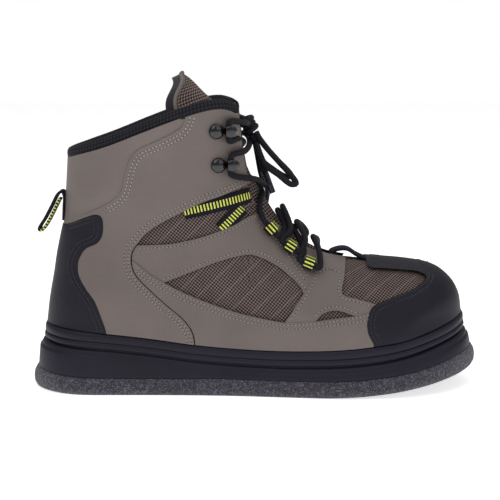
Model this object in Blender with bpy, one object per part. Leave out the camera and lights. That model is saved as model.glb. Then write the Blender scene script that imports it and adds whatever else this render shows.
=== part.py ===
# A right wading boot: felt outsole, moulded midsole, lasted upper with its overlays, lacing.
# Frame: +X to the toe, +Y to the inner side, +Z up. The origin is under the middle of the sole.
import math

import bmesh
import bpy
import numpy as np
from mathutils import Vector

# Driving dimensions, in metres
SOLE_LENGTH = 0.318
BALL_WIDTH = 0.116
FELT_THICKNESS = 0.0115
FELT_END_SWELL = 0.003
MIDSOLE_HEIGHT = 0.0205
HEEL_LIFT = 0.0115
TOE_LIFT = 0.0068
TOE_SPRING = 0.018
FLARE_END = 0.0088
FLARE_SIDE = 0.0060
RIDGE_TOP_HEIGHT = 0.0063
RIDGE_LOW_HEIGHT = 0.0042
STEP_DROP = 0.0036
LINE_DEPTH = 0.0008
GROOVE_DEPTH = 0.0022
UPPER_HEIGHT = 0.170
UPPER_WALL = 0.0024
LEATHER = 0.0012
CAP_THICKNESS = 0.0018
CAP_STRIP_WIDTH = 0.030
COUNTER_THICKNESS = 0.0022
COLLAR_THICKNESS = 0.0022
COLLAR_BAND = 0.0085
INSOLE_THICKNESS = 0.0045
TONGUE_THICKNESS = 0.0055
THROAT_GAP_LOW = 0.0125
THROAT_GAP_TOP = 0.0230
LACE = 0.0034
LOOP_WIDTH = 0.0068
LOOP_HEIGHT = 0.0085
LOOP_STRAP = 0.0013
STRIPE_STRAP = 0.0065
STRIPE_THICKNESS = 0.0013
KEEPER_WIDTH = 0.014
PULL_WIDTH = 0.013
PULL_THICKNESS = 0.0020
RIVET_RADIUS = 0.0048
HOOK_REACH = 0.0115
HOOK_THICKNESS = 0.0018
HOOK_WIDTH = 0.0060
CLEAR = 0.0003

# What follows from them
SOLE_HEIGHT = FELT_THICKNESS + MIDSOLE_HEIGHT
HEEL_X = -SOLE_LENGTH / 2
SEAT = 1.48
UPPER_HEEL_X = HEEL_X + FLARE_END * SEAT
UPPER_LENGTH = SOLE_LENGTH - 2 * FLARE_END * SEAT
ROUND_POWER = 2.15

# The plan of the last: share of the length from the heel, then centre line and half width
# as shares of the ball width.
PLAN = (
    (0.00, 0.000, 0.385),
    (0.14, 0.000, 0.396),
    (0.30, -0.012, 0.385),
    (0.45, -0.030, 0.385),
    (0.60, -0.024, 0.440),
    (0.72, -0.002, 0.495),
    (0.82, 0.018, 0.497),
    (0.92, 0.036, 0.478),
    (1.00, 0.045, 0.455),
)
HEEL_ROUND = 0.135
TOE_ROUND = 0.215

# Where the top of the midsole runs: share of the length, then shares of the heel lift, of the
# toe spring and of the toe lift over the waist.
FEATHER = (
    (0.00, 1.22, 0.00, 0.00),
    (0.17, 0.93, 0.00, 0.00),
    (0.27, 0.63, 0.00, 0.00),
    (0.38, 0.22, 0.00, 0.00),
    (0.50, 0.00, 0.00, 0.00),
    (0.62, 0.00, 0.00, 0.00),
    (0.73, 0.00, 0.10, 0.08),
    (0.82, 0.00, 0.30, 0.20),
    (0.92, 0.00, 0.66, 0.52),
    (1.00, 0.00, 1.00, 1.00),
)
# Where the felt's upper edge runs over the waist, in the same shares, with the felt's swell.
FELT_TOP = (
    (0.00, 0.25, 0.00, 1.00),
    (0.10, 0.08, 0.00, 0.20),
    (0.35, 0.00, 0.00, 0.00),
    (0.42, 0.10, 0.00, 0.00),
    (0.50, 0.00, 0.00, 0.00),
    (0.70, 0.00, 0.08, 0.00),
    (0.82, 0.00, 0.34, 0.10),
    (0.92, 0.00, 0.70, 0.60),
    (1.00, 0.00, 1.00, 1.00),
)
SPRING_START = 0.62
SPRING_POWER = 1.9

# The upper seen from the side: share of the upper's length from the heel, share of its height
# over the waist, and for the front the radius of its rounding as a share of the ball width.
BACK_PROFILE = (
    (0.000, 0.085),
    (0.003, 0.124),
    (0.007, 0.176),
    (0.0125, 0.230),
    (0.0185, 0.285),
    (0.0265, 0.370),
    (0.036, 0.445),
    (0.0455, 0.520),
    (0.050, 0.635),
    (0.0535, 0.724),
    (0.0565, 0.800),
)
FRONT_PROFILE = (
    (1.000, 0.130, 0.52),
    (0.9955, 0.176, 0.51),
    (0.984, 0.223, 0.49),
    (0.966, 0.259, 0.47),
    (0.944, 0.287, 0.45),
    (0.916, 0.305, 0.44),
    (0.865, 0.3195, 0.44),
    (0.808, 0.329, 0.44),
    (0.749, 0.338, 0.44),
    (0.694, 0.352, 0.44),
    (0.646, 0.380, 0.43),
    (0.598, 0.428, 0.42),
    (0.557, 0.492, 0.40),
    (0.5226, 0.574, 0.38),
    (0.500, 0.665, 0.37),
    (0.488, 0.760, 0.36),
    (0.4815, 0.872, 0.36),
    (0.476, 1.000, 0.36),
)
THROAT_AT = 0.690
BACK_ROUND = 0.44
# The shaft's half width by height, as a share of the ball width.
SHAFT_HALF = (
    (0.00, 0.330),
    (0.18, 0.335),
    (0.36, 0.315),
    (0.55, 0.300),
    (0.75, 0.312),
    (1.00, 0.335),
)
SHAFT_CENTRE = 0.0
# The collar's top edge: share along the ring from the back to the throat, share of the height.
COLLAR_LINE = (
    (0.00, 0.800),
    (0.22, 0.850),
    (0.45, 0.915),
    (0.65, 0.968),
    (0.82, 1.000),
    (0.93, 0.990),
    (1.00, 0.940),
)
RING_DIP = 0.24
COLUMNS = 13
LOW_RINGS = 8
HIGH_RINGS = 9

# Outlines in the side view: shares of the upper's length and height.
QUARTER_EDGE = (
    (0.560, 0.665),
    (0.504, 0.675),
    (0.461, 0.650),
    (0.423, 0.626),
    (0.373, 0.597),
    (0.330, 0.561),
    (0.284, 0.521),
    (0.246, 0.478),
    (0.215, 0.416),
    (0.207, 0.385),
    (0.208, 0.339),
    (0.219, 0.298),
    (0.252, 0.240),
    (0.285, 0.188),
    (0.331, 0.119),
    (0.352, 0.060),
    (0.358, -0.060),
)
STRAP_EDGE = (
    (0.224, 0.424),
    (0.297, 0.429),
    (0.360, 0.450),
    (0.411, 0.478),
    (0.449, 0.503),
    (0.486, 0.535),
    (0.530, 0.560),
    (0.600, 0.590),
)
FOREFOOT_EDGE = (
    (0.760, 0.390),
    (0.712, 0.345),
    (0.704, 0.269),
    (0.707, 0.231),
    (0.742, 0.209),
)
TOE_CAP_EDGE = (
    (0.778, -0.060),
    (0.781, 0.026),
    (0.768, 0.074),
    (0.765, 0.112),
    (0.768, 0.145),
    (0.778, 0.178),
    (0.801, 0.196),
    (0.835, 0.216),
    (0.872, 0.235),
    (0.896, 0.254),
    (0.910, 0.272),
    (0.913, 0.284),
    (0.905, 0.297),
)
BIG_WINDOW = (
    (0.285, 0.274),
    (0.358, 0.323),
    (0.417, 0.361),
    (0.466, 0.382),
    (0.492, 0.385),
    (0.533, 0.358),
    (0.573, 0.313),
    (0.614, 0.238),
    (0.588, 0.180),
    (0.563, 0.118),
    (0.520, 0.129),
    (0.450, 0.157),
    (0.385, 0.195),
    (0.331, 0.233),
)
SMALL_WINDOW = (
    (0.640, 0.125),
    (0.662, 0.150),
    (0.684, 0.169),
    (0.706, 0.158),
    (0.731, 0.146),
    (0.672, 0.133),
)
COUNTER_EDGE = (
    (-0.060, 0.470),
    (0.048, 0.490),
    (0.114, 0.531),
    (0.139, 0.545),
    (0.153, 0.537),
    (0.157, 0.505),
    (0.154, 0.460),
    (0.142, 0.432),
    (0.115, 0.408),
    (0.100, 0.373),
    (0.094, 0.340),
    (0.097, 0.294),
    (0.113, 0.244),
    (0.132, 0.194),
    (0.144, 0.135),
    (0.156, 0.066),
    (0.158, -0.060),
    (-0.060, -0.060),
)
STRIPE_STRAPS = (
    ((0.333, 0.560), (0.486, 0.618)),
    ((0.420, 0.488), (0.468, 0.570)),
)
HOOKS = ((0.410, 0.885), (0.415, 0.749))
LOOPS = ((0.538, 0.478), (0.583, 0.413), (0.628, 0.343))


def smooth(table, at, column=1):
    """A smooth curve through one column of a table, read at a place in its first column."""
    at = min(max(at, table[0][0]), table[-1][0])
    last = len(table) - 1
    i = next(k for k in range(last) if at <= table[k + 1][0] or k == last - 1)

    def slope(k):
        low, high = max(k - 1, 0), min(k + 1, last)
        return (table[high][column] - table[low][column]) / (table[high][0] - table[low][0])

    a, b = table[i], table[i + 1]
    span = b[0] - a[0]
    t = (at - a[0]) / span
    bend = t * t * (3 - 2 * t)
    pull = t * (1 - t) ** 2 * span * slope(i) - t * t * (1 - t) * span * slope(i + 1)
    return a[column] + (b[column] - a[column]) * bend + pull


def through(points, count):
    """A smooth run of evenly spaced points through a few points."""
    points = [Vector(p) for p in points]
    along = [0.0]
    for a, b in zip(points, points[1:]):
        along.append(along[-1] + (b - a).length)
    axes = range(len(points[0]))
    tables = [[(s, p[k]) for s, p in zip(along, points)] for k in axes]
    stops = [along[-1] * i / (count - 1) for i in range(count)]
    return [tuple(smooth(t, s) for t in tables) for s in stops]


def rounding(t):
    """Rises from 0 to 1 like the end of a superellipse."""
    t = min(max(t, 0.0), 1.0)
    return (1 - (1 - t) ** ROUND_POWER) ** (1 / ROUND_POWER)


def ease(t):
    t = min(max(t, 0.0), 1.0)
    return t * t * (3 - 2 * t)


def spaced(count):
    """Shares from 0 to 1 that crowd at both ends."""
    return [(1 - math.cos(math.pi * i / count)) / 2 for i in range(count + 1)]


# The sole's own functions
PLAN_MIDDLE = 0.5 * (
    max(smooth(PLAN, k / 99, 1) + smooth(PLAN, k / 99, 2) for k in range(20, 80))
    + min(smooth(PLAN, k / 99, 1) - smooth(PLAN, k / 99, 2) for k in range(20, 80))
)


def sole_share(x):
    return (x - HEEL_X) / SOLE_LENGTH


def plan_half(s):
    return smooth(PLAN, s, 2) * BALL_WIDTH


def plan_centre(s):
    return (smooth(PLAN, s, 1) - PLAN_MIDDLE) * BALL_WIDTH


def feather(s):
    rise = smooth(FEATHER, s, 1) * HEEL_LIFT
    rise += smooth(FEATHER, s, 2) * TOE_SPRING + smooth(FEATHER, s, 3) * TOE_LIFT
    return SOLE_HEIGHT + rise


def bottom(s):
    t = max(0.0, s - SPRING_START) / (1 - SPRING_START)
    return TOE_SPRING * t**SPRING_POWER


def felt_top(s):
    rise = smooth(FELT_TOP, s, 1) * HEEL_LIFT * 0.5 + smooth(FELT_TOP, s, 3) * FELT_END_SWELL
    return FELT_THICKNESS + rise + bottom(s)


def plan_ring(inset, height, count):
    """A ring around the sole. The inset is a share of the flare, and height a function of s."""
    ends = FLARE_END * inset
    side = 1 - FLARE_SIDE * inset / (BALL_WIDTH / 2)
    outer, inner = [], []
    for s in spaced(count):
        half = plan_half(s) * side * rounding(s / HEEL_ROUND) * rounding((1 - s) / TOE_ROUND)
        x = HEEL_X + ends + s * (SOLE_LENGTH - 2 * ends)
        z = height(sole_share(side_x(s)))
        outer.append((x, plan_centre(s) - half, z))
        inner.append((x, plan_centre(s) + half, z))
    return outer + inner[-2:0:-1]


def loft(name, rings, count):
    """A closed solid through rings of the same count, with ladders of faces over both ends."""
    size = len(rings[0])
    verts = [p for ring in rings for p in ring]
    faces = []
    for k in range(len(rings) - 1):
        for i in range(size):
            j = (i + 1) % size
            faces.append((k * size + i, k * size + j, (k + 1) * size + j, (k + 1) * size + i))
    top = (len(rings) - 1) * size
    for i in range(count):
        a, b = i, i + 1
        c, d = (size - i - 1) % size, (size - i) % size
        low = list(dict.fromkeys((a, d, c, b)))
        faces.append(tuple(low))
        faces.append(tuple(top + v for v in reversed(low)))
    return solid(name, verts, faces)


def solid(name, verts, faces):
    """An object from vertices and faces, with its faces turned out."""
    mesh = bpy.data.meshes.new(name)
    mesh.from_pydata([tuple(v) for v in verts], [], faces)
    work = bmesh.new()
    work.from_mesh(mesh)
    bmesh.ops.recalc_face_normals(work, faces=work.faces)
    work.to_mesh(mesh)
    work.free()
    obj = bpy.data.objects.new(name, mesh)
    bpy.context.scene.collection.objects.link(obj)
    return obj


# The upper's own function
def side_x(a):
    return UPPER_HEEL_X + a * UPPER_LENGTH


def side_z(b):
    return SOLE_HEIGHT + b * UPPER_HEIGHT


def side(point):
    return side_x(point[0]), side_z(point[1])


def plan_share(x):
    return (x - UPPER_HEEL_X) / UPPER_LENGTH


def upper_foot(x):
    return feather(sole_share(x)) + CLEAR


def profile_points():
    """The front and back profiles of the upper as many points in the side view."""
    tip = (*side((1.0, 0.0)), FRONT_PROFILE[0][2])
    tip = (tip[0], upper_foot(tip[0]), tip[2])
    front = [tip] + [(*side(row), row[2]) for row in FRONT_PROFILE[1:]]
    heel = (UPPER_HEEL_X, upper_foot(UPPER_HEEL_X))
    back = [heel] + [side(row) for row in BACK_PROFILE[1:]]
    return np.array(through(front, 220)), np.array(through(back, 90))


FRONT, BACK = profile_points()
FRONT_ALONG = np.concatenate([[0], np.cumsum(np.hypot(*np.diff(FRONT[:, :2], axis=0).T))])
THROAT_INDEX = int(np.argmin(abs(FRONT[:, 0] - side_x(THROAT_AT))))


def away(profile, x, z):
    """The distance from a profile in the side view, and the nearest point's index."""
    gaps = np.hypot(profile[:, 0] - x, profile[:, 1] - z)
    i = int(gaps.argmin())
    best = gaps[i]
    for j in (i - 1, i + 1):
        if 0 <= j < len(profile):
            run = profile[j, :2] - profile[i, :2]
            t = np.clip(np.dot((x, z) - profile[i, :2], run) / np.dot(run, run), 0, 1)
            best = min(best, float(np.hypot(*((x, z) - profile[i, :2] - t * run))))
    return best, i


def bare_half(x, z):
    """The upper's half width and centre line, before its front and back are rounded."""
    s = min(max(plan_share(x), 0.0), 1.0)
    b = (z - SOLE_HEIGHT) / UPPER_HEIGHT
    shaft = ease((b - 0.04) / 0.36) * (1 - ease((s - 0.42) / 0.28))
    foot = plan_half(s) - FLARE_SIDE * SEAT * plan_half(s) / (BALL_WIDTH / 2)
    half = foot * (1 - shaft) + smooth(SHAFT_HALF, b) * BALL_WIDTH * shaft
    middle = plan_centre(s) * (1 - shaft) + SHAFT_CENTRE * BALL_WIDTH * shaft
    return half, middle


def half_and_centre(x, z):
    """The upper's half width and centre line at a place in the side view."""
    half, middle = bare_half(x, z)
    front, i = away(FRONT, x, z)
    back, _ = away(BACK, x, z)
    half *= rounding(front / (FRONT[i, 2] * BALL_WIDTH))
    half *= rounding(back / (BACK_ROUND * BALL_WIDTH))
    return half, middle


def skin(x, z, hand):
    """The point of the upper's outer face. Hand is -1 on the outer side and 1 on the inner."""
    half, middle = half_and_centre(x, z)
    return Vector((x, middle + hand * half, z))


def skin_normal(x, z, hand):
    """The direction out of the upper at a place in the side view."""
    step = 0.0006
    along = skin(x + step, z, hand) - skin(x - step, z, hand)
    up = skin(x, z + step, hand) - skin(x, z - step, hand)
    out = along.cross(up).normalized()
    return out if out.y * hand > 0 else -out


def on_skin(a, b, hand, lift=0.0):
    """A place over the upper's face, from shares in the side view, and its direction out."""
    x, z = side((a, b))
    out = skin_normal(x, z, hand)
    return skin(x, z, hand) + out * lift, out


def ring_count():
    return LOW_RINGS + HIGH_RINGS


def throat_gap(ring):
    """Half of the throat's width at a ring, 0 up to the throat's foot."""
    k = (ring - LOW_RINGS) / HIGH_RINGS
    if k <= 0:
        return 0.0
    opened = min(1.0, k * HIGH_RINGS / 2)
    return opened**0.5 * (THROAT_GAP_LOW + (THROAT_GAP_TOP - THROAT_GAP_LOW) * k)


def front_place(ring):
    """Where a ring meets the front profile in the side view."""
    if ring <= LOW_RINGS:
        reach = FRONT_ALONG[THROAT_INDEX] * ring / LOW_RINGS
    else:
        k = (ring - LOW_RINGS) / HIGH_RINGS
        reach = FRONT_ALONG[THROAT_INDEX] * (1 - k) + FRONT_ALONG[-1] * k
    return [float(np.interp(reach, FRONT_ALONG, FRONT[:, k])) for k in (0, 1)]


def ring_path(ring):
    """A ring's places in the side view, from the back to the front or the throat."""
    v = ring / ring_count()
    i = v * (len(BACK) - 1)
    heel = np.array([np.interp(i, range(len(BACK)), BACK[:, k]) for k in (0, 1)])
    toe = np.array(front_place(ring))
    _, near = away(FRONT, *toe)
    run = FRONT[min(near + 1, len(FRONT) - 1), :2] - FRONT[max(near - 1, 0), :2]
    inward = np.array((-run[1], run[0])) / np.hypot(*run)
    bend = ease(ring / LOW_RINGS) * (1 - ease((v - 0.6) / 0.4))
    dip = (toe + inward * RING_DIP * BALL_WIDTH) * bend + (heel + toe) / 2 * (1 - bend)
    low, high = (1 - v) ** 2, v**4

    def place(u):
        x, z = heel * (1 - u) ** 2 + 2 * dip * u * (1 - u) + toe * u**2
        t = (x - heel[0]) / (toe[0] - heel[0])
        sag = upper_foot(x) - upper_foot(heel[0]) * (1 - t) - upper_foot(toe[0]) * t
        rim = side_z(smooth(COLLAR_LINE, t)) - BACK[-1, 1] * (1 - t) - FRONT[-1, 1] * t
        return x, z + sag * low + rim * high

    stop = 1.0
    gap = throat_gap(ring)
    if gap > 0:
        near, far = 0.5, 1.0
        for _ in range(30):
            stop = (near + far) / 2
            half, _ = half_and_centre(*place(stop))
            near, far = (stop, far) if half > gap else (near, stop)
    return [place(t * stop) for t in spaced(COLUMNS)]


def grid(first, last):
    """The upper's outer face as rows of points and directions, both hands from back to front."""
    rows = []
    for ring in range(first, last + 1):
        path = ring_path(ring)
        row = []
        for hand in (-1, 1):
            points = [skin(x, z, hand) for x, z in path]
            points[0].y = half_and_centre(*path[0])[1]
            if ring <= LOW_RINGS:
                points[-1].y = half_and_centre(*path[-1])[1]
            row.append(points)
        rows.append(row)
    return rows


def face_normals(verts, faces):
    """The direction out at each vertex, the mean of its faces' directions."""
    mesh = bpy.data.meshes.new("directions")
    mesh.from_pydata(verts, [], faces)
    work = bmesh.new()
    work.from_mesh(mesh)
    work.normal_update()
    out = [v.normal.copy() for v in work.verts]
    work.free()
    bpy.data.meshes.remove(mesh)
    return out


def skin_sheet():
    """The upper's outer face as one open sheet: vertices, triangles and directions out."""
    rows = grid(0, ring_count())
    verts, index = [], {}
    for r, (outer, inner) in enumerate(rows):
        for h, points in enumerate((outer, inner)):
            for c, p in enumerate(points):
                shared = c == 0 or (c == COLUMNS and r <= LOW_RINGS)
                if h == 1 and shared:
                    index[r, h, c] = index[r, 0, c]
                    continue
                index[r, h, c] = len(verts)
                verts.append(tuple(p))
    faces = []
    for r in range(ring_count()):
        for h in (0, 1):
            for c in range(COLUMNS):
                quad = (
                    index[r, h, c],
                    index[r, h, c + 1],
                    index[r + 1, h, c + 1],
                    index[r + 1, h, c],
                )
                halves = (quad[:3], (quad[0], quad[2], quad[3]))
                faces += [half if h == 0 else half[::-1] for half in halves]
    normals = face_normals(verts, faces)
    return verts, faces, normals


SHEET = skin_sheet()


def thick_sheet(name, inner, outer):
    """A solid between two offsets of the upper's face."""
    verts, faces, out = SHEET
    low = [Vector(v) + n * inner for v, n in zip(verts, out)]
    high = [Vector(v) + n * outer for v, n in zip(verts, out)]
    count = len(verts)
    uses = {}
    for face in faces:
        for a, b in zip(face, face[1:] + face[:1]):
            uses[a, b] = True
    rim = [(a, b) for a, b in uses if (b, a) not in uses]
    shell = [tuple(count + v for v in face) for face in faces]
    shell += [tuple(reversed(face)) for face in faces]
    shell += [(b, a, count + a, count + b) for a, b in rim]
    return solid(name, low + high, shell)


def prism(name, outline, y_from, y_to):
    """A cutter: an outline in the side view, in metres, drawn out along Y."""
    count = len(outline)
    verts = [(x, y_from, z) for x, z in outline] + [(x, y_to, z) for x, z in outline]
    faces = [tuple(range(count)), tuple(reversed(range(count, 2 * count)))]
    for i in range(count):
        j = (i + 1) % count
        faces.append((j, i, count + i, count + j))
    cutter = solid(name, verts, faces)
    cutter.hide_render = True
    cutter.display_type = "WIRE"
    return cutter


def carve(obj, cutter, operation, solver="EXACT"):
    """Applies a Boolean and removes the cutter."""
    cut = obj.modifiers.new("cut", "BOOLEAN")
    cut.operation = operation
    cut.object = cutter
    cut.solver = solver
    shape = bpy.data.meshes.new_from_object(
        obj.evaluated_get(bpy.context.evaluated_depsgraph_get())
    )
    obj.modifiers.clear()
    old = obj.data
    obj.data = shape
    bpy.data.meshes.remove(old)
    bpy.data.objects.remove(cutter)


def grown(outline, margin):
    """An outline in metres moved out by a margin, or in by a negative one."""
    count = len(outline)
    area = sum(
        outline[i][0] * outline[(i + 1) % count][1] - outline[(i + 1) % count][0] * outline[i][1]
        for i in range(count)
    )
    turn = 1 if area > 0 else -1
    moved = []
    for i in range(count):
        before, after = outline[i - 1], outline[(i + 1) % count]
        dx, dz = after[0] - before[0], after[1] - before[1]
        size = math.hypot(dx, dz)
        moved.append((outline[i][0] + turn * dz / size * margin,
                      outline[i][1] - turn * dx / size * margin))
    return moved


def curve_points(rows, count):
    """A smooth run through side-view shares, in metres."""
    return through([side(row) for row in rows], count)


# Materials
def finish(obj, colour, roughness, metallic=0.0):
    material = bpy.data.materials.new(obj.name)
    material.use_nodes = True
    shader = material.node_tree.nodes["Principled BSDF"]
    shader.inputs["Base Color"].default_value = (*colour, 1.0)
    shader.inputs["Roughness"].default_value = roughness
    shader.inputs["Metallic"].default_value = metallic
    obj.data.materials.clear()
    obj.data.materials.append(material)
    if obj.type == "MESH":
        obj.data.shade_smooth()
        obj.data.set_sharp_from_angle(angle=math.radians(35))
    return obj


TAN = (0.185, 0.158, 0.145)
BLACK = (0.022, 0.021, 0.030)
FELT = (0.065, 0.060, 0.078)
MESH = (0.150, 0.120, 0.105)
STRIPE = (0.62, 0.80, 0.11)


# The sole
SOLE_STEPS = 22


def make_outsole():
    levels = (
        (0.55, lambda s: bottom(s)),
        (0.08, lambda s: bottom(s) + 0.15 * (felt_top(s) - bottom(s))),
        (0.00, lambda s: bottom(s) + 0.50 * (felt_top(s) - bottom(s))),
        (0.32, lambda s: bottom(s) + 0.93 * (felt_top(s) - bottom(s))),
        (0.50, lambda s: felt_top(s)),
    )
    rings = [plan_ring(inset, height, SOLE_STEPS) for inset, height in levels]
    return finish(loft("felt_outsole", rings, SOLE_STEPS), FELT, 0.95)


def make_midsole():
    drop_line = RIDGE_TOP_HEIGHT
    drop_groove = RIDGE_TOP_HEIGHT + RIDGE_LOW_HEIGHT + LINE_DEPTH
    drop_band = drop_groove + GROOVE_DEPTH / 2
    deep = GROOVE_DEPTH / FLARE_SIDE
    thin = LINE_DEPTH / FLARE_SIDE

    def below(drop):
        return lambda s: feather(s) - drop

    levels = (
        (SEAT, below(0.0)),
        (1.12, below(CLEAR)),
        (1.00, below(RIDGE_TOP_HEIGHT * 0.18)),
        (0.98, below(drop_line - LINE_DEPTH)),
        (0.98 + thin, below(drop_line)),
        (0.94, below(drop_line + LINE_DEPTH)),
        (0.90, below(drop_groove - GROOVE_DEPTH / 2)),
        (0.90 + deep, below(drop_groove)),
        (0.76, below(drop_band + GROOVE_DEPTH / 4)),
        (0.70, below(drop_band + STEP_DROP)),
        (0.60, below(drop_band + STEP_DROP + LINE_DEPTH)),
        (0.40, lambda s: felt_top(s) + CLEAR),
    )
    rings = [plan_ring(inset, height, SOLE_STEPS) for inset, height in reversed(levels)]
    return finish(loft("midsole", rings, SOLE_STEPS), BLACK, 0.45)


def inner_ring(lift, gap, count):
    """A ring inside the upper's wall at a height over the midsole."""
    margin = UPPER_WALL + gap
    sides = {-1: [], 1: []}
    for s in spaced(count)[1:-1]:
        x = side_x(s)
        z = feather(sole_share(x)) + lift
        for hand, points in sides.items():
            out = skin_normal(x, z, hand).xy.normalized()
            edge = skin(x, z, hand).xy - out * margin
            points.append((edge.x, edge.y, feather(sole_share(edge.x)) + lift))
    tips = []
    for x in (side_x(0) + margin, side_x(1) - margin):
        tips.append((x, plan_centre(sole_share(x)), feather(sole_share(x)) + lift))
    return [tips[0]] + sides[-1] + [tips[1]] + sides[1][::-1]


def make_insole():
    steps = 22
    top = INSOLE_THICKNESS + CLEAR
    rings = [inner_ring(CLEAR, 0.0018, steps), inner_ring(top, 0.0022, steps)]
    return finish(loft("insole", rings, steps), BLACK, 0.85)


def make_upper():
    return finish(thick_sheet("upper", -UPPER_WALL, 0.0), MESH, 0.9)


# The overlays, cut from thin shells over the upper
def collar_places():
    return [tuple(p) for p in ring_path(ring_count())]


def rim_outline(drop):
    """The line that runs a little below the collar, from the back to the throat."""
    return [(x, z - drop) for x, z in collar_places()]


def toe_cap_outline(margin):
    edge = curve_points(TOE_CAP_EDGE, 15)
    edge += [side((0.900, 0.40)), side((1.08, 0.40)), side((1.08, -0.06))]
    return grown(edge, margin)


def counter_outline(margin):
    corners = [side(p) for p in COUNTER_EDGE[-1:]]
    return grown(curve_points(COUNTER_EDGE[:-1], 21) + corners, margin)


def span(hand, gap=0.0):
    """The stretch of Y on one side of the middle plane."""
    return sorted((hand * gap / 2, hand * BALL_WIDTH))


def quarter_line():
    return curve_points(QUARTER_EDGE, 20)


def make_quarter(name, hand):
    panel = thick_sheet(name, CLEAR, CLEAR + LEATHER)
    line = quarter_line()
    rim = rim_outline(COLLAR_BAND)
    rim = [p for p in rim if p[0] > rim[0][0]]
    outline = line + [side((-0.2, -0.06)), (side_x(-0.2), rim[0][1] - 0.004)]
    outline += rim + [(side_x(0.60), rim[-1][1]), side((0.60, 0.66))]
    carve(panel, prism("outline", outline, *span(hand, CLEAR)), "INTERSECT")
    carve(panel, prism("counter", counter_outline(CLEAR), -BALL_WIDTH, BALL_WIDTH), "DIFFERENCE")
    return finish(panel, TAN, 0.55)


def make_side_leather(name, hand):
    panel = thick_sheet(name, CLEAR, CLEAR + LEATHER)
    start = side_z(STRAP_EDGE[0][1])
    rear = [(x + CLEAR * 3, z) for x, z in quarter_line()[::-1] if z < start]
    top = curve_points(STRAP_EDGE, 9)
    front = curve_points(FOREFOOT_EDGE, 8)
    outline = rear + top + [side((0.66, 0.50))] + front + [side((0.80, 0.19)), side((0.80, -0.06))]
    outer = prism("outline", outline, *span(hand, CAP_STRIP_WIDTH / 2))
    carve(panel, outer, "INTERSECT", "MANIFOLD")
    holes = [
        curve_points(BIG_WINDOW + BIG_WINDOW[:1], 22)[:-1],
        curve_points(SMALL_WINDOW + SMALL_WINDOW[:1], 10)[:-1],
        toe_cap_outline(CLEAR),
    ]
    for hole in holes:
        carve(panel, prism("hole", hole, -BALL_WIDTH, BALL_WIDTH), "DIFFERENCE", "MANIFOLD")
    return finish(panel, TAN, 0.55)


def make_toe_cap():
    cap = thick_sheet("toe_cap", CLEAR, CLEAR + CAP_THICKNESS)
    cutter = prism("edge", toe_cap_outline(0.0), -BALL_WIDTH, BALL_WIDTH)
    middle = plan_centre(0.85)
    strip = [side((0.770, 0.27)), side((0.95, 0.27)), side((0.95, 0.38)), side((0.770, 0.38))]
    half = CAP_STRIP_WIDTH / 2
    carve(cutter, prism("strip", strip, middle - half, middle + half), "UNION")
    carve(cap, cutter, "INTERSECT")
    return finish(cap, BLACK, 0.5)


def make_counter():
    counter = thick_sheet("heel_counter", CLEAR, CLEAR + COUNTER_THICKNESS)
    carve(counter, prism("edge", counter_outline(0.0), -BALL_WIDTH, BALL_WIDTH), "INTERSECT")
    return finish(counter, BLACK, 0.5)


def make_collar():
    """A padded channel that wraps the upper's rim."""
    verts, _, out = SHEET
    per_ring = 2 * COLUMNS + 1
    top = len(verts) - per_ring - 0
    wall, band = UPPER_WALL, COLLAR_BAND
    section = (
        (CLEAR * 2, -band + CLEAR * 2),
        (CLEAR + COLLAR_THICKNESS * 0.8, -band + CLEAR * 2),
        (CLEAR + COLLAR_THICKNESS * 1.3, -band * 0.5),
        (CLEAR + COLLAR_THICKNESS, 0.0),
        (0.0, COLLAR_THICKNESS * 1.3),
        (-wall, COLLAR_THICKNESS * 1.5),
        (-wall - COLLAR_THICKNESS, COLLAR_THICKNESS * 0.9),
        (-wall - COLLAR_THICKNESS * 2.0, -band * 0.7),
        (-wall - CLEAR * 6, -band * 1.3),
        (-wall - CLEAR * 4, CLEAR * 4),
        (CLEAR * 2, CLEAR * 4),
    )
    stations = []
    upper_row = {tuple(round(c, 6) for c in verts[k]): k for k in range(top, len(verts))}
    path = ring_path(ring_count())
    below = ring_path(ring_count() - 1)
    order = [(-1, c) for c in range(COLUMNS, -1, -1)] + [(1, c) for c in range(1, COLUMNS + 1)]
    for hand, c in order:
        x, z = path[c]
        point = skin(x, z, hand)
        lower = skin(*below[c], hand)
        if c == 0:
            point.y = lower.y = half_and_centre(x, z)[1]
        normal = out[upper_row[tuple(round(v, 6) for v in point)]]
        up = (point - lower).normalized()
        up = (up - normal * up.dot(normal)).normalized()
        stations.append([point + normal * a + up * b for a, b in section])
    return finish(tube_of(stations, "collar_band"), BLACK, 0.9)


def tube_of(stations, name):
    """A closed solid through stations of the same count, with flat ends."""
    size = len(stations[0])
    verts = [p for ring in stations for p in ring]
    faces = [tuple(range(size)), tuple(range(len(verts) - size, len(verts)))]
    for k in range(len(stations) - 1):
        for i in range(size):
            j = (i + 1) % size
            faces.append((k * size + i, k * size + j, (k + 1) * size + j, (k + 1) * size + i))
    return solid(name, verts, faces)


def make_stripe_strap(name, ends, hand):
    strap = thick_sheet(name, CLEAR, CLEAR + STRIPE_THICKNESS)
    a, b = Vector(side(ends[0])), Vector(side(ends[1]))
    across = Vector((a.y - b.y, b.x - a.x)).normalized() * STRIPE_STRAP / 2
    outline = [tuple(p) for p in (a - across, b - across, b + across, a + across)]
    carve(strap, prism("outline", outline, *span(hand)), "INTERSECT")
    above = grown(quarter_line() + [side((-0.2, -0.06)), side((-0.2, 1.2)), side((0.8, 1.2))], CLEAR)
    carve(strap, prism("quarter", above, -BALL_WIDTH, BALL_WIDTH), "DIFFERENCE")
    below = curve_points(STRAP_EDGE, 9) + [side((0.8, -0.06)), side((-0.2, -0.06)), side((-0.2, 0.425))]
    carve(strap, prism("side", grown(below, CLEAR), -BALL_WIDTH, BALL_WIDTH), "DIFFERENCE")
    return finish(strap, STRIPE, 0.7)


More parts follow.
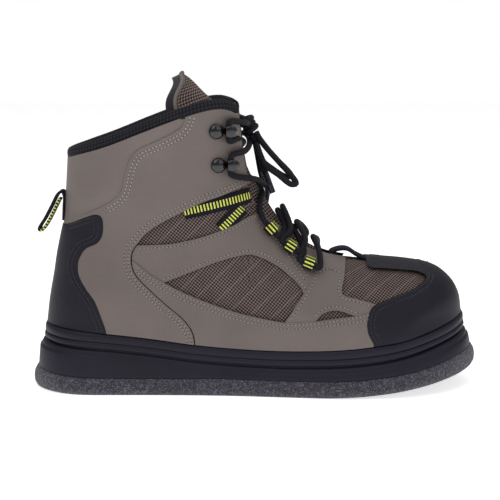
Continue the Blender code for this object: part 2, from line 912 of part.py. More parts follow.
# The tongue
TONGUE_PATH = (
    (0.7486, 0.3090),
    (0.6920, 0.3215),
    (0.6395, 0.3500),
    (0.5880, 0.4015),
    (0.5455, 0.4720),
    (0.5095, 0.5590),
    (0.4840, 0.6560),
    (0.4725, 0.7450),
    (0.4620, 0.8235),
    (0.4460, 0.8940),
    (0.4240, 0.9530),
    (0.3990, 1.0000),
    (0.3767, 1.0350),
    (0.3460, 1.0880),
    (0.3253, 1.1135),
)
TONGUE_HALF = (
    (0.0, 0.180),
    (0.3, 0.205),
    (0.6, 0.225),
    (0.80, 0.225),
    (0.92, 0.205),
    (1.0, 0.120),
)


def make_tongue():
    """A padded tongue that lies under the throat and leans back out of the collar."""
    rows, across = 16, 8
    path = [Vector(p) for p in curve_points(TONGUE_PATH, rows)]
    stations = []
    for k, place in enumerate(path):
        ahead, behind = path[min(k + 1, rows - 1)], path[max(k - 1, 0)]
        run = (ahead - behind).normalized()
        inward = Vector((-run.y, run.x))
        wide, middle = bare_half(*place)
        _, near = away(FRONT, *place)
        deep = FRONT[near, 2] * BALL_WIDTH
        half = smooth(TONGUE_HALF, k / (rows - 1)) * BALL_WIDTH
        thick = TONGUE_THICKNESS * (0.45 + 0.55 * ease(k / rows * 3))
        thick *= 1 - 0.5 * ease((k / rows - 0.9) / 0.1)
        front, rear = [], []
        for i in range(across + 1):
            t = 2 * i / across - 1
            y = half * math.sin(t * math.pi / 2)
            depth = deep * (1 - (1 - abs(y / wide) ** ROUND_POWER) ** (1 / ROUND_POWER))
            slim = thick * (1 - 0.6 * abs(t) ** 4)
            for extra, row in ((0.0, front), (slim, rear)):
                spot = place + inward * (depth * 1.15 + extra)
                row.append(Vector((spot.x, middle + y, spot.y)))
        stations.append(front + rear[::-1])
    return finish(tube_of(stations, "tongue"), MESH, 0.9)


# Hooks, lace loops and the keeper
def frame_at(a, b, hand, lift):
    """A place over the side, with the directions forward along the throat, up and out."""
    point, out = on_skin(a, b, hand, lift)
    forward = Vector((1, 0, 0))
    forward = (forward - out * forward.dot(out)).normalized()
    up = out.cross(forward)
    if up.z < 0:
        up = -up
    return point, forward, up, out


def ribbon(name, path, thickness, width, place, along, outward, across):
    """A strip bent along a path in a plane, with square edges."""
    path = [Vector(p) for p in path]
    stations = []
    for k, p in enumerate(path):
        run = (path[min(k + 1, len(path) - 1)] - path[max(k - 1, 0)]).normalized()
        side_way = Vector((-run.y, run.x)) * thickness / 2
        ring = []
        for way, y in ((-1, -1), (1, -1), (1, 1), (-1, 1)):
            flat = p + side_way * way
            ring.append(place + along * flat.x + outward * flat.y + across * y * width / 2)
        stations.append(ring)
    return tube_of(stations, name)


def make_hook(name, a, b, hand):
    lift = CLEAR * 2 + LEATHER
    place, forward, up, out = frame_at(a, b, hand, lift)
    seat = HOOK_THICKNESS / 2
    path = through(
        (
            (-RIVET_RADIUS * 0.6, seat),
            (RIVET_RADIUS, seat),
            (HOOK_REACH * 0.75, seat * 1.4),
            (HOOK_REACH, LACE * 0.9),
            (HOOK_REACH * 0.93, LACE * 1.75),
            (HOOK_REACH * 0.62, LACE * 2.1),
        ),
        9,
    )
    hook = ribbon(name, path, HOOK_THICKNESS, HOOK_WIDTH, place, forward, out, up)
    rivet = turned("rivet", RIVET_RADIUS, place, forward, out, up)
    carve(hook, rivet, "UNION")
    return finish(hook, BLACK, 0.2)


def turned(name, radius, place, forward, out, up):
    """A low domed button, turned around the direction out."""
    rings, sides = 3, 10
    rows = [(radius, CLEAR)]
    for k in range(rings):
        t = k / rings * math.pi / 2
        rows.append((radius * math.cos(t), radius * 0.45 + radius * 0.5 * math.sin(t)))
    stations = []
    for r, h in rows:
        ring = []
        for i in range(sides):
            turn = 2 * math.pi * i / sides
            ring.append(place + out * h + forward * r * math.cos(turn) + up * r * math.sin(turn))
        stations.append(ring)
    return tube_of(stations, name)


LOOP_BORE = LACE / 2 + CLEAR * 2
LOOP_TALL = LOOP_BORE + LOOP_STRAP


def loop_frame(a, b, hand):
    """The middle of a lace loop, with the directions up the throat, across and out."""
    place, _, _, out = frame_at(a, b, hand, CLEAR * 3 + LEATHER)
    _, i = away(FRONT, *side((a, b)))
    run = FRONT[i + 1, :2] - FRONT[i - 1, :2]
    along = Vector((run[0], 0, run[1]))
    along = (along - out * along.dot(out)).normalized()
    across = out.cross(along)
    if across.y * hand > 0:
        across = -across
    return place + out * LOOP_TALL, along, across, out


def make_lace_loop(name, a, b, hand):
    """A flat webbing ring at the eyestay, open along the throat for the lace."""
    middle, along, across, out = loop_frame(a, b, hand)
    wide, tall = LOOP_HEIGHT / 2, LOOP_TALL
    sides = 12

    def ring(w, t, shift):
        points = []
        for k in range(sides):
            turn = 2 * math.pi * k / sides
            c, d = math.cos(turn), math.sin(turn)
            flat = across * w * math.copysign(abs(c) ** 0.7, c)
            high = out * t * math.copysign(abs(d) ** 0.7, d)
            points.append(middle + flat + high + along * shift)
        return points

    half = LOOP_WIDTH / 2
    inner = (wide - LOOP_STRAP, LOOP_BORE)
    verts = ring(wide, tall, -half) + ring(wide, tall, half)
    verts += ring(*inner, half) + ring(*inner, -half)
    faces = []
    for level in range(4):
        following = (level + 1) % 4
        for k in range(sides):
            j = (k + 1) % sides
            faces.append((level * sides + k, level * sides + j,
                          following * sides + j, following * sides + k))
    return finish(solid(name, verts, faces), STRIPE, 0.7)


# Along the vamp from the strip to the throat: share of the upper's length, lift in straps.
KEEPER_PATH = (
    (0.768, 0.50),
    (0.752, 1.70),
    (0.736, 3.90),
    (0.720, 4.20),
    (0.706, 2.40),
    (0.697, 0.60),
)


def make_keeper():
    """A webbing arch over the foot of the throat, where the strip ends."""
    path = []
    for share, lift in KEEPER_PATH:
        x = side_x(share)
        z = float(np.interp(-x, -FRONT[:, 0], FRONT[:, 1]))
        path.append((x, z + CLEAR + LOOP_STRAP * lift))
    place = Vector((0, plan_centre(KEEPER_PATH[0][0]), 0))
    keeper = ribbon("lace_keeper", through(path, 13), LOOP_STRAP, KEEPER_WIDTH, place,
                    Vector((1, 0, 0)), Vector((0, 0, 1)), Vector((0, 1, 0)))
    return finish(keeper, BLACK, 0.8)


PULL_PATH = (
    (0.0345, 0.503),
    (0.0362, 0.565),
    (0.0372, 0.603),
    (0.0318, 0.622),
    (0.0210, 0.611),
    (0.0058, 0.562),
    (-0.0110, 0.509),
    (-0.0253, 0.470),
    (-0.0247, 0.461),
    (-0.0164, 0.463),
    (-0.0027, 0.497),
    (0.0106, 0.542),
    (0.0200, 0.578),
)


def make_pull_loop():
    path = through([side(p) for p in PULL_PATH], 34)
    place = Vector((0, SHAFT_CENTRE * BALL_WIDTH, 0))
    loop = ribbon("pull_loop", path, PULL_THICKNESS, PULL_WIDTH, place,
                  Vector((1, 0, 0)), Vector((0, 0, 1)), Vector((0, 1, 0)))
    return finish(loop, BLACK, 0.8)


# The lace. Crossings: the rows of HOOKS + LOOPS that they join, and the lift over the tongue.
CROSSINGS = (
    ("lace_cross_1", 0, 1, -0.0025),
    ("lace_cross_2", 1, 2, 0.0020),
    ("lace_cross_3", 2, 3, 0.0092),
    ("lace_cross_4", 3, 4, 0.0092),
)
BAR_LIFT = 0.0085
BAR_AHEAD = 0.040
SIDE_LIFT = 0.0085
LACE_SIDES = 6
# Routes: shares of the upper's length from the heel, of the ball width and of the height.
KNOT = ((0.476, 0.000, 0.929), (0.4966, 0.000, 0.865))
KNOT_WIDTH = 0.0105
CORDS = (
    (
        "bow_loop_outer",
        14,
        (
            (0.5029, -0.016, 0.8682),
            (0.5116, -0.021, 0.8412),
            (0.5308, -0.041, 0.8000),
            (0.5558, -0.069, 0.7529),
            (0.5890, -0.099, 0.6912),
            (0.5993, -0.112, 0.6618),
            (0.5856, -0.129, 0.6606),
            (0.5582, -0.129, 0.6971),
            (0.5243, -0.095, 0.7412),
            (0.5034, -0.054, 0.8235),
        ),
    ),
    (
        "bow_loop_inner",
        14,
        (
            (0.5029, 0.016, 0.8682),
            (0.5113, 0.026, 0.8412),
            (0.5479, 0.112, 0.7588),
            (0.5822, 0.155, 0.6971),
            (0.5908, 0.172, 0.6735),
            (0.5753, 0.190, 0.6706),
            (0.5479, 0.164, 0.7000),
            (0.5171, 0.112, 0.7471),
            (0.5017, 0.065, 0.8176),
        ),
    ),
    (
        "lace_end_outer",
        7,
        (
            (0.4915, -0.016, 0.8576),
            (0.5014, -0.016, 0.8265),
            (0.5120, -0.009, 0.7706),
            (0.5219, -0.016, 0.7176),
            (0.5438, -0.034, 0.6159),
        ),
    ),
    (
        "lace_end_inner",
        7,
        (
            (0.4915, 0.016, 0.8576),
            (0.5007, 0.022, 0.8235),
            (0.5068, 0.052, 0.7706),
            (0.5171, 0.082, 0.6824),
            (0.5336, 0.090, 0.6235),
        ),
    ),
)


def over_throat(share, y, lift):
    """A place over the throat: share of the front profile's length, offset across and lift."""
    reach = share * FRONT_ALONG[-1]
    x, z, deep = [float(np.interp(reach, FRONT_ALONG, FRONT[:, k])) for k in range(3)]
    _, i = away(FRONT, x, z)
    i = min(max(i, 1), len(FRONT) - 2)
    run = Vector(FRONT[i + 1, :2] - FRONT[i - 1, :2]).normalized()
    wide, middle = bare_half(x, z)
    fall = deep * BALL_WIDTH * (1 - (1 - abs(y / wide) ** ROUND_POWER) ** (1 / ROUND_POWER))
    return Vector((x + run.y * (lift - fall), middle + y, z - run.x * (lift - fall)))


def profile_share(a, b):
    """How far up the front profile a place in the side view is, as a share."""
    _, i = away(FRONT, *side((a, b)))
    return FRONT_ALONG[i] / FRONT_ALONG[-1]


def tube(name, points, count, thick, sides=LACE_SIDES):
    """A round bar through a few points, with flat ends."""
    run = [Vector(p) for p in through(points, count)]
    stations = []
    across = Vector((0, 0, 1))
    for k, place in enumerate(run):
        ahead = (run[min(k + 1, count - 1)] - run[max(k - 1, 0)]).normalized()
        across = (across - ahead * across.dot(ahead)).normalized()
        other = ahead.cross(across)
        ring = []
        for i in range(sides):
            turn = 2 * math.pi * i / sides
            ring.append(place + (across * math.cos(turn) + other * math.sin(turn)) * thick / 2)
        stations.append(ring)
    return tube_of(stations, name)


def lace_seat(row, hand, toward):
    """Where the lace leaves a hook or a loop, and which way. Toward is 1 up the throat."""
    if row < len(HOOKS):
        place, forward, along, out = frame_at(*HOOKS[row], hand, CLEAR * 2 + LEATHER)
        middle = place + forward * HOOK_REACH * 0.72 + out * LACE * 1.2
        half = HOOK_WIDTH / 2 + CLEAR / 2
    else:
        middle, along, _, _ = loop_frame(*LOOPS[row - len(HOOKS)], hand)
        half = LOOP_WIDTH / 2
    return middle + along * toward * (half + CLEAR * 2.5), along * toward


def place_row(row):
    return (HOOKS + LOOPS)[row]


def make_crossing(name, upper_row, lower_row, lift):
    high, low = profile_share(*place_row(upper_row)), profile_share(*place_row(lower_row))
    strands = []
    for hand in (-1, 1):
        start, leaving = lace_seat(upper_row, hand, -1)
        end, entering = lace_seat(lower_row, -hand, 1)
        route = [start, start + leaving * LACE]
        for share, y in ((0.34, 0.72), (0.5, 0.0), (0.66, -0.72)):
            reach = high + (low - high) * share
            over = lift if y == 0.0 else max(lift, SIDE_LIFT)
            route.append(over_throat(reach, hand * abs(start.y) * y, over))
        strands.append(tube(name, route + [end + entering * LACE, end], 9, LACE))
    carve(strands[0], strands[1], "UNION")
    return finish(strands[0], BLACK, 0.7)


def make_bar():
    """The lace's first bar, between the lowest pair of loops."""
    row = len(HOOKS) + len(LOOPS) - 1
    (start, leaving), (end, entering) = [lace_seat(row, hand, -1) for hand in (-1, 1)]
    share = profile_share(*place_row(row)) - BAR_AHEAD
    arch = [over_throat(share, start.y * y, BAR_LIFT) for y in (0.5, 0.0, -0.5)]
    route = [start, start + leaving * LACE * 0.6, *arch, end + entering * LACE * 0.6, end]
    return finish(tube("lace_bar", route, 10, LACE), BLACK, 0.7)


def lace_place(row):
    return Vector((side_x(row[0]), row[1] * BALL_WIDTH, side_z(row[2])))


def make_top_strand(name, hand):
    """The lace from the top hook to the knot."""
    knot = lace_place(KNOT[0]).lerp(lace_place(KNOT[1]), 0.35)
    start, leaving = lace_seat(0, hand, 1)
    near = start + leaving * LACE
    end = knot + Vector((0, hand * (KNOT_WIDTH / 2 + CLEAR * 2), 0))
    route = [start, near, near.lerp(end, 0.5) + Vector((LACE, 0, 0)), end]
    return finish(tube(name, route, 6, LACE), BLACK, 0.7)


def make_knot():
    ends = [lace_place(row) for row in KNOT]
    return finish(tube("lace_knot", [ends[0], ends[0].lerp(ends[1], 0.5), ends[1]], 4,
                       KNOT_WIDTH, 8), BLACK, 0.7)


def cord(name, points, count):
    """A free stretch of lace as a smooth tube through a few route points."""
    curve = bpy.data.curves.new(name, "CURVE")
    curve.dimensions = "3D"
    curve.bevel_depth = LACE / 2
    curve.bevel_resolution = 2
    curve.use_fill_caps = True
    spline = curve.splines.new("POLY")
    run = through(points, count)
    spline.points.add(len(run) - 1)
    for point, place in zip(spline.points, run):
        point.co = (*place, 1)
    obj = bpy.data.objects.new(name, curve)
    bpy.context.scene.collection.objects.link(obj)
    return finish(obj, BLACK, 0.7)


BUILDERS = [
    make_outsole,
    make_midsole,
    make_insole,
    make_upper,
    lambda: make_quarter("quarter_outer", -1),
    lambda: make_quarter("quarter_inner", 1),
    lambda: make_side_leather("side_leather_outer", -1),
    lambda: make_side_leather("side_leather_inner", 1),
    make_toe_cap,
    make_counter,
    make_collar,
    make_tongue,
    make_keeper,
    make_pull_loop,
    make_bar,
    make_knot,
    lambda: make_top_strand("lace_top_outer", -1),
    lambda: make_top_strand("lace_top_inner", 1),
]


def main():
    for obj in list(bpy.data.objects):
        bpy.data.objects.remove(obj)
    for build in BUILDERS:
        build()
    for hand, word in ((-1, "outer"), (1, "inner")):
        for k, ends in enumerate(STRIPE_STRAPS):
            make_stripe_strap(f"striped_strap_{word}_{k + 1}", ends, hand)
        for k, place in enumerate(HOOKS):
            make_hook(f"lace_hook_{word}_{k + 1}", *place, hand)
        for k, place in enumerate(LOOPS):
            make_lace_loop(f"lace_loop_{word}_{k + 1}", *place, hand)
    for crossing in CROSSINGS:
        make_crossing(*crossing)
    for name, count, route in CORDS:
        cord(name, [lace_place(row) for row in route], count)


main()
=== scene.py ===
# The looks of the wading boot: cloth, leather, moulded sole, felt, webbing, stitching and lace.
# Frame: +X to the toe, +Y to the inner side, +Z up, metres.
import math

import bpy
import numpy as np
from bpy.props import FloatProperty, FloatVectorProperty, PointerProperty
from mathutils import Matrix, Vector


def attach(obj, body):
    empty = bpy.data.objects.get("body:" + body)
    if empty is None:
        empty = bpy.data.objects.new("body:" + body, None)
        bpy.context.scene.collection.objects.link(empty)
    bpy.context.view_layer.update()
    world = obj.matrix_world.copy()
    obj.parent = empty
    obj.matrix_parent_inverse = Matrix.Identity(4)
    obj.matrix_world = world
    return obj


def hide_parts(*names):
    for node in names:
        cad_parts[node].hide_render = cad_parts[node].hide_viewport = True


bl_info = {
    "name": "Wading boot",
    "version": (1, 0, 0),
    "blender": (4, 5, 0),
    "location": "3D View > Sidebar > Boot",
    "description": "Dresses the solid wading boot with its cloth, leather, sole, webbing and lace",
    "category": "Add Mesh",
}

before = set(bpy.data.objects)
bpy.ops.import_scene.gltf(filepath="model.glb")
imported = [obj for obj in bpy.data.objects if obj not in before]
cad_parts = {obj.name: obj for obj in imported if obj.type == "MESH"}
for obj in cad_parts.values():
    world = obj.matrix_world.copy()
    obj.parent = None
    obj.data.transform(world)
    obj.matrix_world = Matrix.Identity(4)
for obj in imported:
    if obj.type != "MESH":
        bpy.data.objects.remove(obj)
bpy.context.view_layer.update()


def length(name, description, default):
    return FloatProperty(name=name, description=description, default=default, unit="LENGTH")


def shade(name, description, default):
    return FloatVectorProperty(
        name=name, description=description, default=default, subtype="COLOR", size=3
    )


class BootSizes(bpy.types.PropertyGroup):
    """Sizes of the boot's finishing."""

    leather: length("Leather", "Thickness of the lowest leather", 0.0012)
    layer: length("Layer", "Rise from one leather to the one over it", 0.0004)
    lace: length("Lace", "Diameter of the lace", 0.0042)
    stitch_pitch: length("Stitch pitch", "From stitch to stitch", 0.0026)
    stitch_thread: length("Thread", "Thickness of the thread", 0.00075)
    row_gap: length("Row gap", "Between double rows of stitches", 0.0026)


class BootColours(bpy.types.PropertyGroup):
    """Colours of the boot."""

    tan: shade("Tan leather", "The leather panels", (0.150, 0.122, 0.112))
    black: shade("Black", "Toe cap, heel counter and webbing", (0.0088, 0.0078, 0.0155))
    sole: shade("Sole", "The moulded midsole", (0.0105, 0.0094, 0.0185))
    felt: shade("Felt", "The felt outsole", (0.030, 0.027, 0.038))
    mesh: shade("Mesh", "The threads of the upper's mesh", (0.108, 0.080, 0.072))
    stripe: shade("Stripe", "The stripes of the webbing", (0.740, 0.800, 0.150))
    lace: shade("Lace", "The lace", (0.0055, 0.0052, 0.0090))
    thread: shade("Thread", "The stitches on the leather", (0.300, 0.258, 0.238))


# The last, the sole and the fittings: sizes in metres, tables in shares of them. They are those
# of the solids, but for the collar band, the striped straps and the places that follow the photo.
SOLE_LENGTH = 0.318
BALL_WIDTH = 0.116
FELT_THICKNESS = 0.0115
FELT_END_SWELL = 0.003
MIDSOLE_HEIGHT = 0.0205
HEEL_LIFT = 0.0115
TOE_LIFT = 0.0068
TOE_SPRING = 0.018
FLARE_END = 0.0088
FLARE_SIDE = 0.0060
RIDGE_TOP_HEIGHT = 0.0063
RIDGE_LOW_HEIGHT = 0.0042
STEP_DROP = 0.0036
LINE_DEPTH = 0.0008
GROOVE_DEPTH = 0.0022
UPPER_HEIGHT = 0.170
UPPER_WALL = 0.0024
COLLAR_THICKNESS = 0.0022
COLLAR_BAND = 0.0062
INSOLE_THICKNESS = 0.0045
TONGUE_THICKNESS = 0.0055
THROAT_GAP_LOW = 0.0125
THROAT_GAP_TOP = 0.0230
LOOP_WIDTH = 0.0068
LOOP_HEIGHT = 0.0085
LOOP_STRAP = 0.0013
STRIPE_STRAP = 0.0104
KEEPER_WIDTH = 0.014
PULL_WIDTH = 0.013
PULL_THICKNESS = 0.0020
RIVET_RADIUS = 0.0048
HOOK_REACH = 0.0115
HOOK_THICKNESS = 0.0018
HOOK_WIDTH = 0.0060
CLEAR = 0.0003
SOLE_HEIGHT = FELT_THICKNESS + MIDSOLE_HEIGHT
HEEL_X = -SOLE_LENGTH / 2
SEAT = 1.48
UPPER_HEEL_X = HEEL_X + FLARE_END * SEAT
UPPER_LENGTH = SOLE_LENGTH - 2 * FLARE_END * SEAT
ROUND_POWER = 2.15
HEEL_ROUND = 0.135
TOE_ROUND = 0.215
SPRING_START = 0.62
SPRING_POWER = 1.9
THROAT_AT = 0.690
BACK_ROUND = 0.44
CAP_STRIP_WIDTH = 0.030
RING_DIP = 0.24
LOW_RINGS = 8
HIGH_RINGS = 9
RINGS = LOW_RINGS + HIGH_RINGS
HANDS = (("outer", -1), ("inner", 1))

PLAN = (
    (0.00, 0.000, 0.385), (0.14, 0.000, 0.396), (0.30, -0.012, 0.385), (0.45, -0.030, 0.385),
    (0.60, -0.024, 0.440), (0.72, -0.002, 0.495), (0.82, 0.018, 0.497), (0.92, 0.036, 0.478),
    (1.00, 0.045, 0.455),
)
FEATHER = (
    (0.00, 1.22, 0.00, 0.00), (0.17, 0.93, 0.00, 0.00), (0.27, 0.63, 0.00, 0.00),
    (0.38, 0.22, 0.00, 0.00), (0.50, 0.00, 0.00, 0.00), (0.62, 0.00, 0.00, 0.00),
    (0.73, 0.00, 0.10, 0.08), (0.82, 0.00, 0.30, 0.20), (0.92, 0.00, 0.66, 0.52),
    (1.00, 0.00, 1.00, 1.00),
)
FELT_TOP = (
    (0.00, 0.25, 0.00, 1.00), (0.10, 0.08, 0.00, 0.20), (0.35, 0.00, 0.00, 0.00),
    (0.42, 0.10, 0.00, 0.00), (0.50, 0.00, 0.00, 0.00), (0.70, 0.00, 0.08, 0.00),
    (0.82, 0.00, 0.34, 0.10), (0.92, 0.00, 0.70, 0.60), (1.00, 0.00, 1.00, 1.00),
)
BACK_PROFILE = (
    (0.000, 0.085), (0.003, 0.124), (0.007, 0.176), (0.0125, 0.230), (0.0185, 0.285),
    (0.0265, 0.370), (0.036, 0.445), (0.0455, 0.520), (0.050, 0.635), (0.0535, 0.724),
    (0.0565, 0.800),
)
FRONT_PROFILE = (
    (1.000, 0.130, 0.52), (0.9955, 0.176, 0.51), (0.984, 0.223, 0.49), (0.966, 0.259, 0.47),
    (0.944, 0.287, 0.45), (0.916, 0.305, 0.44), (0.865, 0.3195, 0.44), (0.808, 0.329, 0.44),
    (0.749, 0.338, 0.44), (0.694, 0.352, 0.44), (0.646, 0.380, 0.43), (0.598, 0.428, 0.42),
    (0.557, 0.492, 0.40), (0.5226, 0.574, 0.38), (0.500, 0.665, 0.37), (0.488, 0.760, 0.36),
    (0.4815, 0.872, 0.36), (0.476, 1.000, 0.36),
)
SHAFT_HALF = (
    (0.00, 0.330), (0.18, 0.335), (0.36, 0.315), (0.55, 0.300), (0.75, 0.312), (1.00, 0.335),
)
COLLAR_LINE = (
    (0.00, 0.800), (0.22, 0.850), (0.45, 0.915), (0.65, 0.968), (0.82, 1.000), (0.93, 0.990),
    (1.00, 0.940),
)

# Levels of the sole: a share of the flare, and a share of the felt's height, a rise over the
# felt or a drop from the feather line
SOLE_STEPS = 110
FELT_LEVELS = (
    (0.95, 0.0), (0.42, 0.0), (0.16, 0.07), (0.03, 0.22), (0.00, 0.45), (0.06, 0.68),
    (0.22, 0.86), (0.40, 0.97), (0.60, 1.0),
)
BASE_LEVELS = ((0.440, 0.0), (0.395, 0.0003), (0.400, 0.0014))
GROOVE_DROP = RIDGE_TOP_HEIGHT + RIDGE_LOW_HEIGHT + LINE_DEPTH
BAND_DROP = GROOVE_DROP + GROOVE_DEPTH / 2
BAND_LEVELS = (
    (0.520, BAND_DROP + STEP_DROP + 0.0010),
    (0.560, BAND_DROP + STEP_DROP + 0.0002),
    (0.700, BAND_DROP + STEP_DROP - 0.0005),
    (0.725, BAND_DROP + STEP_DROP * 0.55),
    (0.770, BAND_DROP + 0.0008),
)
GROOVE_LEVELS = (
    (0.860, GROOVE_DROP + 0.0012),
    (1.270, GROOVE_DROP + 0.0005),
    (1.270, GROOVE_DROP - 0.0003),
    (0.960, GROOVE_DROP - 0.0012),
    (0.905, GROOVE_DROP - 0.0020),
)
FLANGE_LEVELS = (
    (0.930, RIDGE_TOP_HEIGHT + 0.0014),
    (0.985, RIDGE_TOP_HEIGHT + 0.0005),
    (1.130, RIDGE_TOP_HEIGHT),
    (1.020, RIDGE_TOP_HEIGHT - 0.0004),
    (0.980, RIDGE_TOP_HEIGHT - 0.0010),
    (0.985, 0.0034), (1.01, 0.0018), (1.09, 0.0006), (1.22, 0.0001), (1.48, 0.0),
)

# Outlines in the side view: shares of the upper's length from the heel and of its height
QUARTER_EDGE = (
    (0.560, 0.665), (0.504, 0.675), (0.461, 0.650), (0.423, 0.626), (0.373, 0.597),
    (0.330, 0.561), (0.284, 0.521), (0.246, 0.478), (0.215, 0.416), (0.207, 0.385),
    (0.208, 0.339), (0.219, 0.298), (0.252, 0.240), (0.285, 0.188), (0.331, 0.119),
    (0.352, 0.060), (0.358, -0.060),
)
STRAP_EDGE = (
    (0.224, 0.424), (0.297, 0.429), (0.360, 0.450), (0.411, 0.478), (0.449, 0.503),
    (0.486, 0.535), (0.530, 0.560), (0.600, 0.590),
)
FOREFOOT_EDGE = (
    (0.728, 0.400), (0.7185, 0.3406), (0.7116, 0.2859), (0.7055, 0.2450), (0.7085, 0.2255),
    (0.7394, 0.2106), (0.7839, 0.1888), (0.830, 0.165),
)
FOREFOOT_REAR = (
    (0.550, 0.070), (0.5702, 0.1153), (0.6045, 0.2024), (0.6185, 0.2394), (0.6373, 0.3012),
    (0.6524, 0.3706), (0.660, 0.420),
)
FOREFOOT_TOP = ((0.650, 0.303), (0.676, 0.312), (0.704, 0.296))
MUDGUARD_EDGE = (
    (0.198, 0.378), (0.2075, 0.3671), (0.2538, 0.3041), (0.2836, 0.2741), (0.3298, 0.2335),
    (0.3842, 0.1953), (0.4493, 0.1571), (0.5199, 0.1294), (0.5634, 0.1176), (0.5829, 0.1176),
    (0.6408, 0.1235), (0.6733, 0.1318), (0.7315, 0.1447), (0.7565, 0.1518), (0.830, 0.175),
)
EYESTAY_ROW = (
    (0.500, 0.490), (0.536, 0.4406), (0.5623, 0.3906), (0.5863, 0.3329), (0.6110, 0.2759),
)
ANKLE_SEAM = (
    (0.351, 0.990), (0.350, 0.955), (0.3438, 0.9147), (0.3312, 0.8847), (0.2829, 0.8382),
    (0.2281, 0.7924), (0.2099, 0.7376), (0.1952, 0.6429), (0.1784, 0.6024), (0.1356, 0.5576),
    (0.098, 0.530),
)
TOE_CAP_EDGE = (
    (0.778, -0.060), (0.781, 0.026), (0.768, 0.074), (0.765, 0.112), (0.768, 0.145),
    (0.778, 0.178), (0.801, 0.196), (0.835, 0.216), (0.872, 0.235), (0.896, 0.254),
    (0.910, 0.272), (0.913, 0.284), (0.9079, 0.2920), (0.8860, 0.3035), (0.8500, 0.3106),
    (0.8137, 0.3165), (0.7900, 0.3185), (0.7770, 0.3225), (0.7715, 0.3300), (0.7702, 0.3420),
)
BIG_WINDOW = (
    (0.285, 0.274), (0.358, 0.323), (0.417, 0.361), (0.466, 0.382), (0.492, 0.385),
    (0.533, 0.358), (0.573, 0.313), (0.614, 0.238), (0.594, 0.180), (0.574, 0.118),
    (0.520, 0.120), (0.450, 0.148), (0.385, 0.186), (0.331, 0.226),
)
SMALL_WINDOW = (
    (0.6400, 0.1180), (0.6545, 0.1480), (0.6640, 0.1590), (0.6750, 0.1647), (0.6890, 0.1682),
    (0.7096, 0.1618), (0.7271, 0.1500), (0.7380, 0.1440), (0.7200, 0.1250), (0.6800, 0.1150),
)
COUNTER_EDGE = (
    (-0.060, 0.470), (0.038, 0.490), (0.098, 0.531), (0.122, 0.545), (0.136, 0.537),
    (0.140, 0.505), (0.137, 0.460), (0.125, 0.432), (0.098, 0.408), (0.083, 0.373),
    (0.077, 0.340), (0.080, 0.294), (0.097, 0.244), (0.119, 0.194), (0.133, 0.135),
    (0.146, 0.066), (0.148, -0.060),
)
CREASES = (
    (0.300, 0.640, 0.450, 0.715, 0.030, -0.0040), (0.235, 0.560, 0.330, 0.640, 0.036, 0.0030),
    (0.290, 0.780, 0.400, 0.800, 0.040, -0.0030), (0.300, 0.360, 0.440, 0.430, 0.026, -0.0026),
    (0.640, 0.225, 0.690, 0.330, 0.024, -0.0030), (0.730, 0.300, 0.800, 0.245, 0.030, -0.0036),
    (0.150, 0.700, 0.030, 0.745, 0.045, -0.0034),
)
STRIPE_STRAPS = (
    ((0.333, 0.560), (0.486, 0.618)),
    ((0.420, 0.488), (0.468, 0.570)),
)
HOOKS = ((0.4055, 0.886), (0.4105, 0.749))
LOOPS = ((0.529, 0.470), (0.577, 0.392), (0.624, 0.326))

# Sizes that only the looks use, in metres
SEAM_SHIFT = 0.0026
ANKLE_PUFF = 0.0020
ANKLE_SINK = 0.0006
ANKLE_EDGE = 0.010
RIDGE_BARE = 0.010
CREASE_FADE = 0.016
PUFF_FADE = 0.020
FITTING_LIFT = 0.0012
STRAP_THICKNESS = 0.0011
KEEPER_THICKNESS = 0.0022
TONGUE_TOP_HALF = 0.0238
TONGUE_SWEEP = 0.0130
TONGUE_ROLL = 0.0048
TONGUE_SWELL = 0.0072
BINDING_THICKNESS = 0.0030
EDGE_INSET = 0.0018
STRAP_INSET = 0.0020
WINDOW_INSET = 0.0022
FOREFOOT_INSET = 0.0024
ARCH_LIFT = 0.0074
ARCH_HUMP = 0.0085
CROSS_HUMP = 0.0045
BAR_LIFT = 0.0080
KNOT_RADIUS = 0.0036
THREAD_LIFT = 0.0001
HOLE_SINK = 0.00012

# The place and the half length of a hook's lobe, in shares of the hook's reach
HOOK_MIDDLE = 0.74
HOOK_LOBE = 0.47
# The lobe's width in shares of the hook's, and the rivet head's radius in shares of the rivet's
LOBE_WIDTH = 1.35
DOME_SHARE = 1.1
# Where a stitch starts and ends in its pitch, and its hole in shares of the stitch's length
STITCH_ENDS = (0.14, 0.86)
HOLE_LENGTH = 0.22
HOLE_AHEAD = 0.20

# Lace between two rows: shares of the way down, and of the offset from the middle line
ARCH = ((0.58, 0.70), (-0.30, 0.0), (0.40, -0.70))
CROSSING = ((0.7, 0.70), (0.5, 0.0), (0.3, -0.70))

TONGUE_PATH = (
    (0.7486, 0.3090), (0.6920, 0.3215), (0.6395, 0.3500), (0.5880, 0.4015), (0.5455, 0.4720),
    (0.5095, 0.5590), (0.4840, 0.6560), (0.4725, 0.7450), (0.4620, 0.8235), (0.4460, 0.8940),
    (0.4240, 0.9530), (0.3990, 1.0000), (0.3767, 1.0350), (0.3460, 1.0880), (0.3253, 1.1135),
)
TONGUE_HALF = (
    (0.0, 0.180), (0.3, 0.205), (0.6, 0.225), (0.80, 0.225), (0.92, 0.205), (1.0, 0.120),
)
KEEPER_PATH = (
    (0.800, 0.318), (0.7712, 0.3376), (0.7469, 0.3571), (0.7271, 0.3782), (0.7075, 0.3800),
    (0.6860, 0.3653), (0.6960, 0.3500), (0.7130, 0.3320), (0.7325, 0.3240), (0.7615, 0.3230),
    (0.785, 0.3150),
)
PULL_PATH = (
    (0.0345, 0.503), (0.0362, 0.565), (0.0372, 0.603), (0.0318, 0.622), (0.0210, 0.611),
    (0.0058, 0.562), (-0.0110, 0.509), (-0.0253, 0.470), (-0.0247, 0.461), (-0.0164, 0.463),
    (-0.0027, 0.497), (0.0106, 0.540), (0.0205, 0.574), (0.0262, 0.592),
)


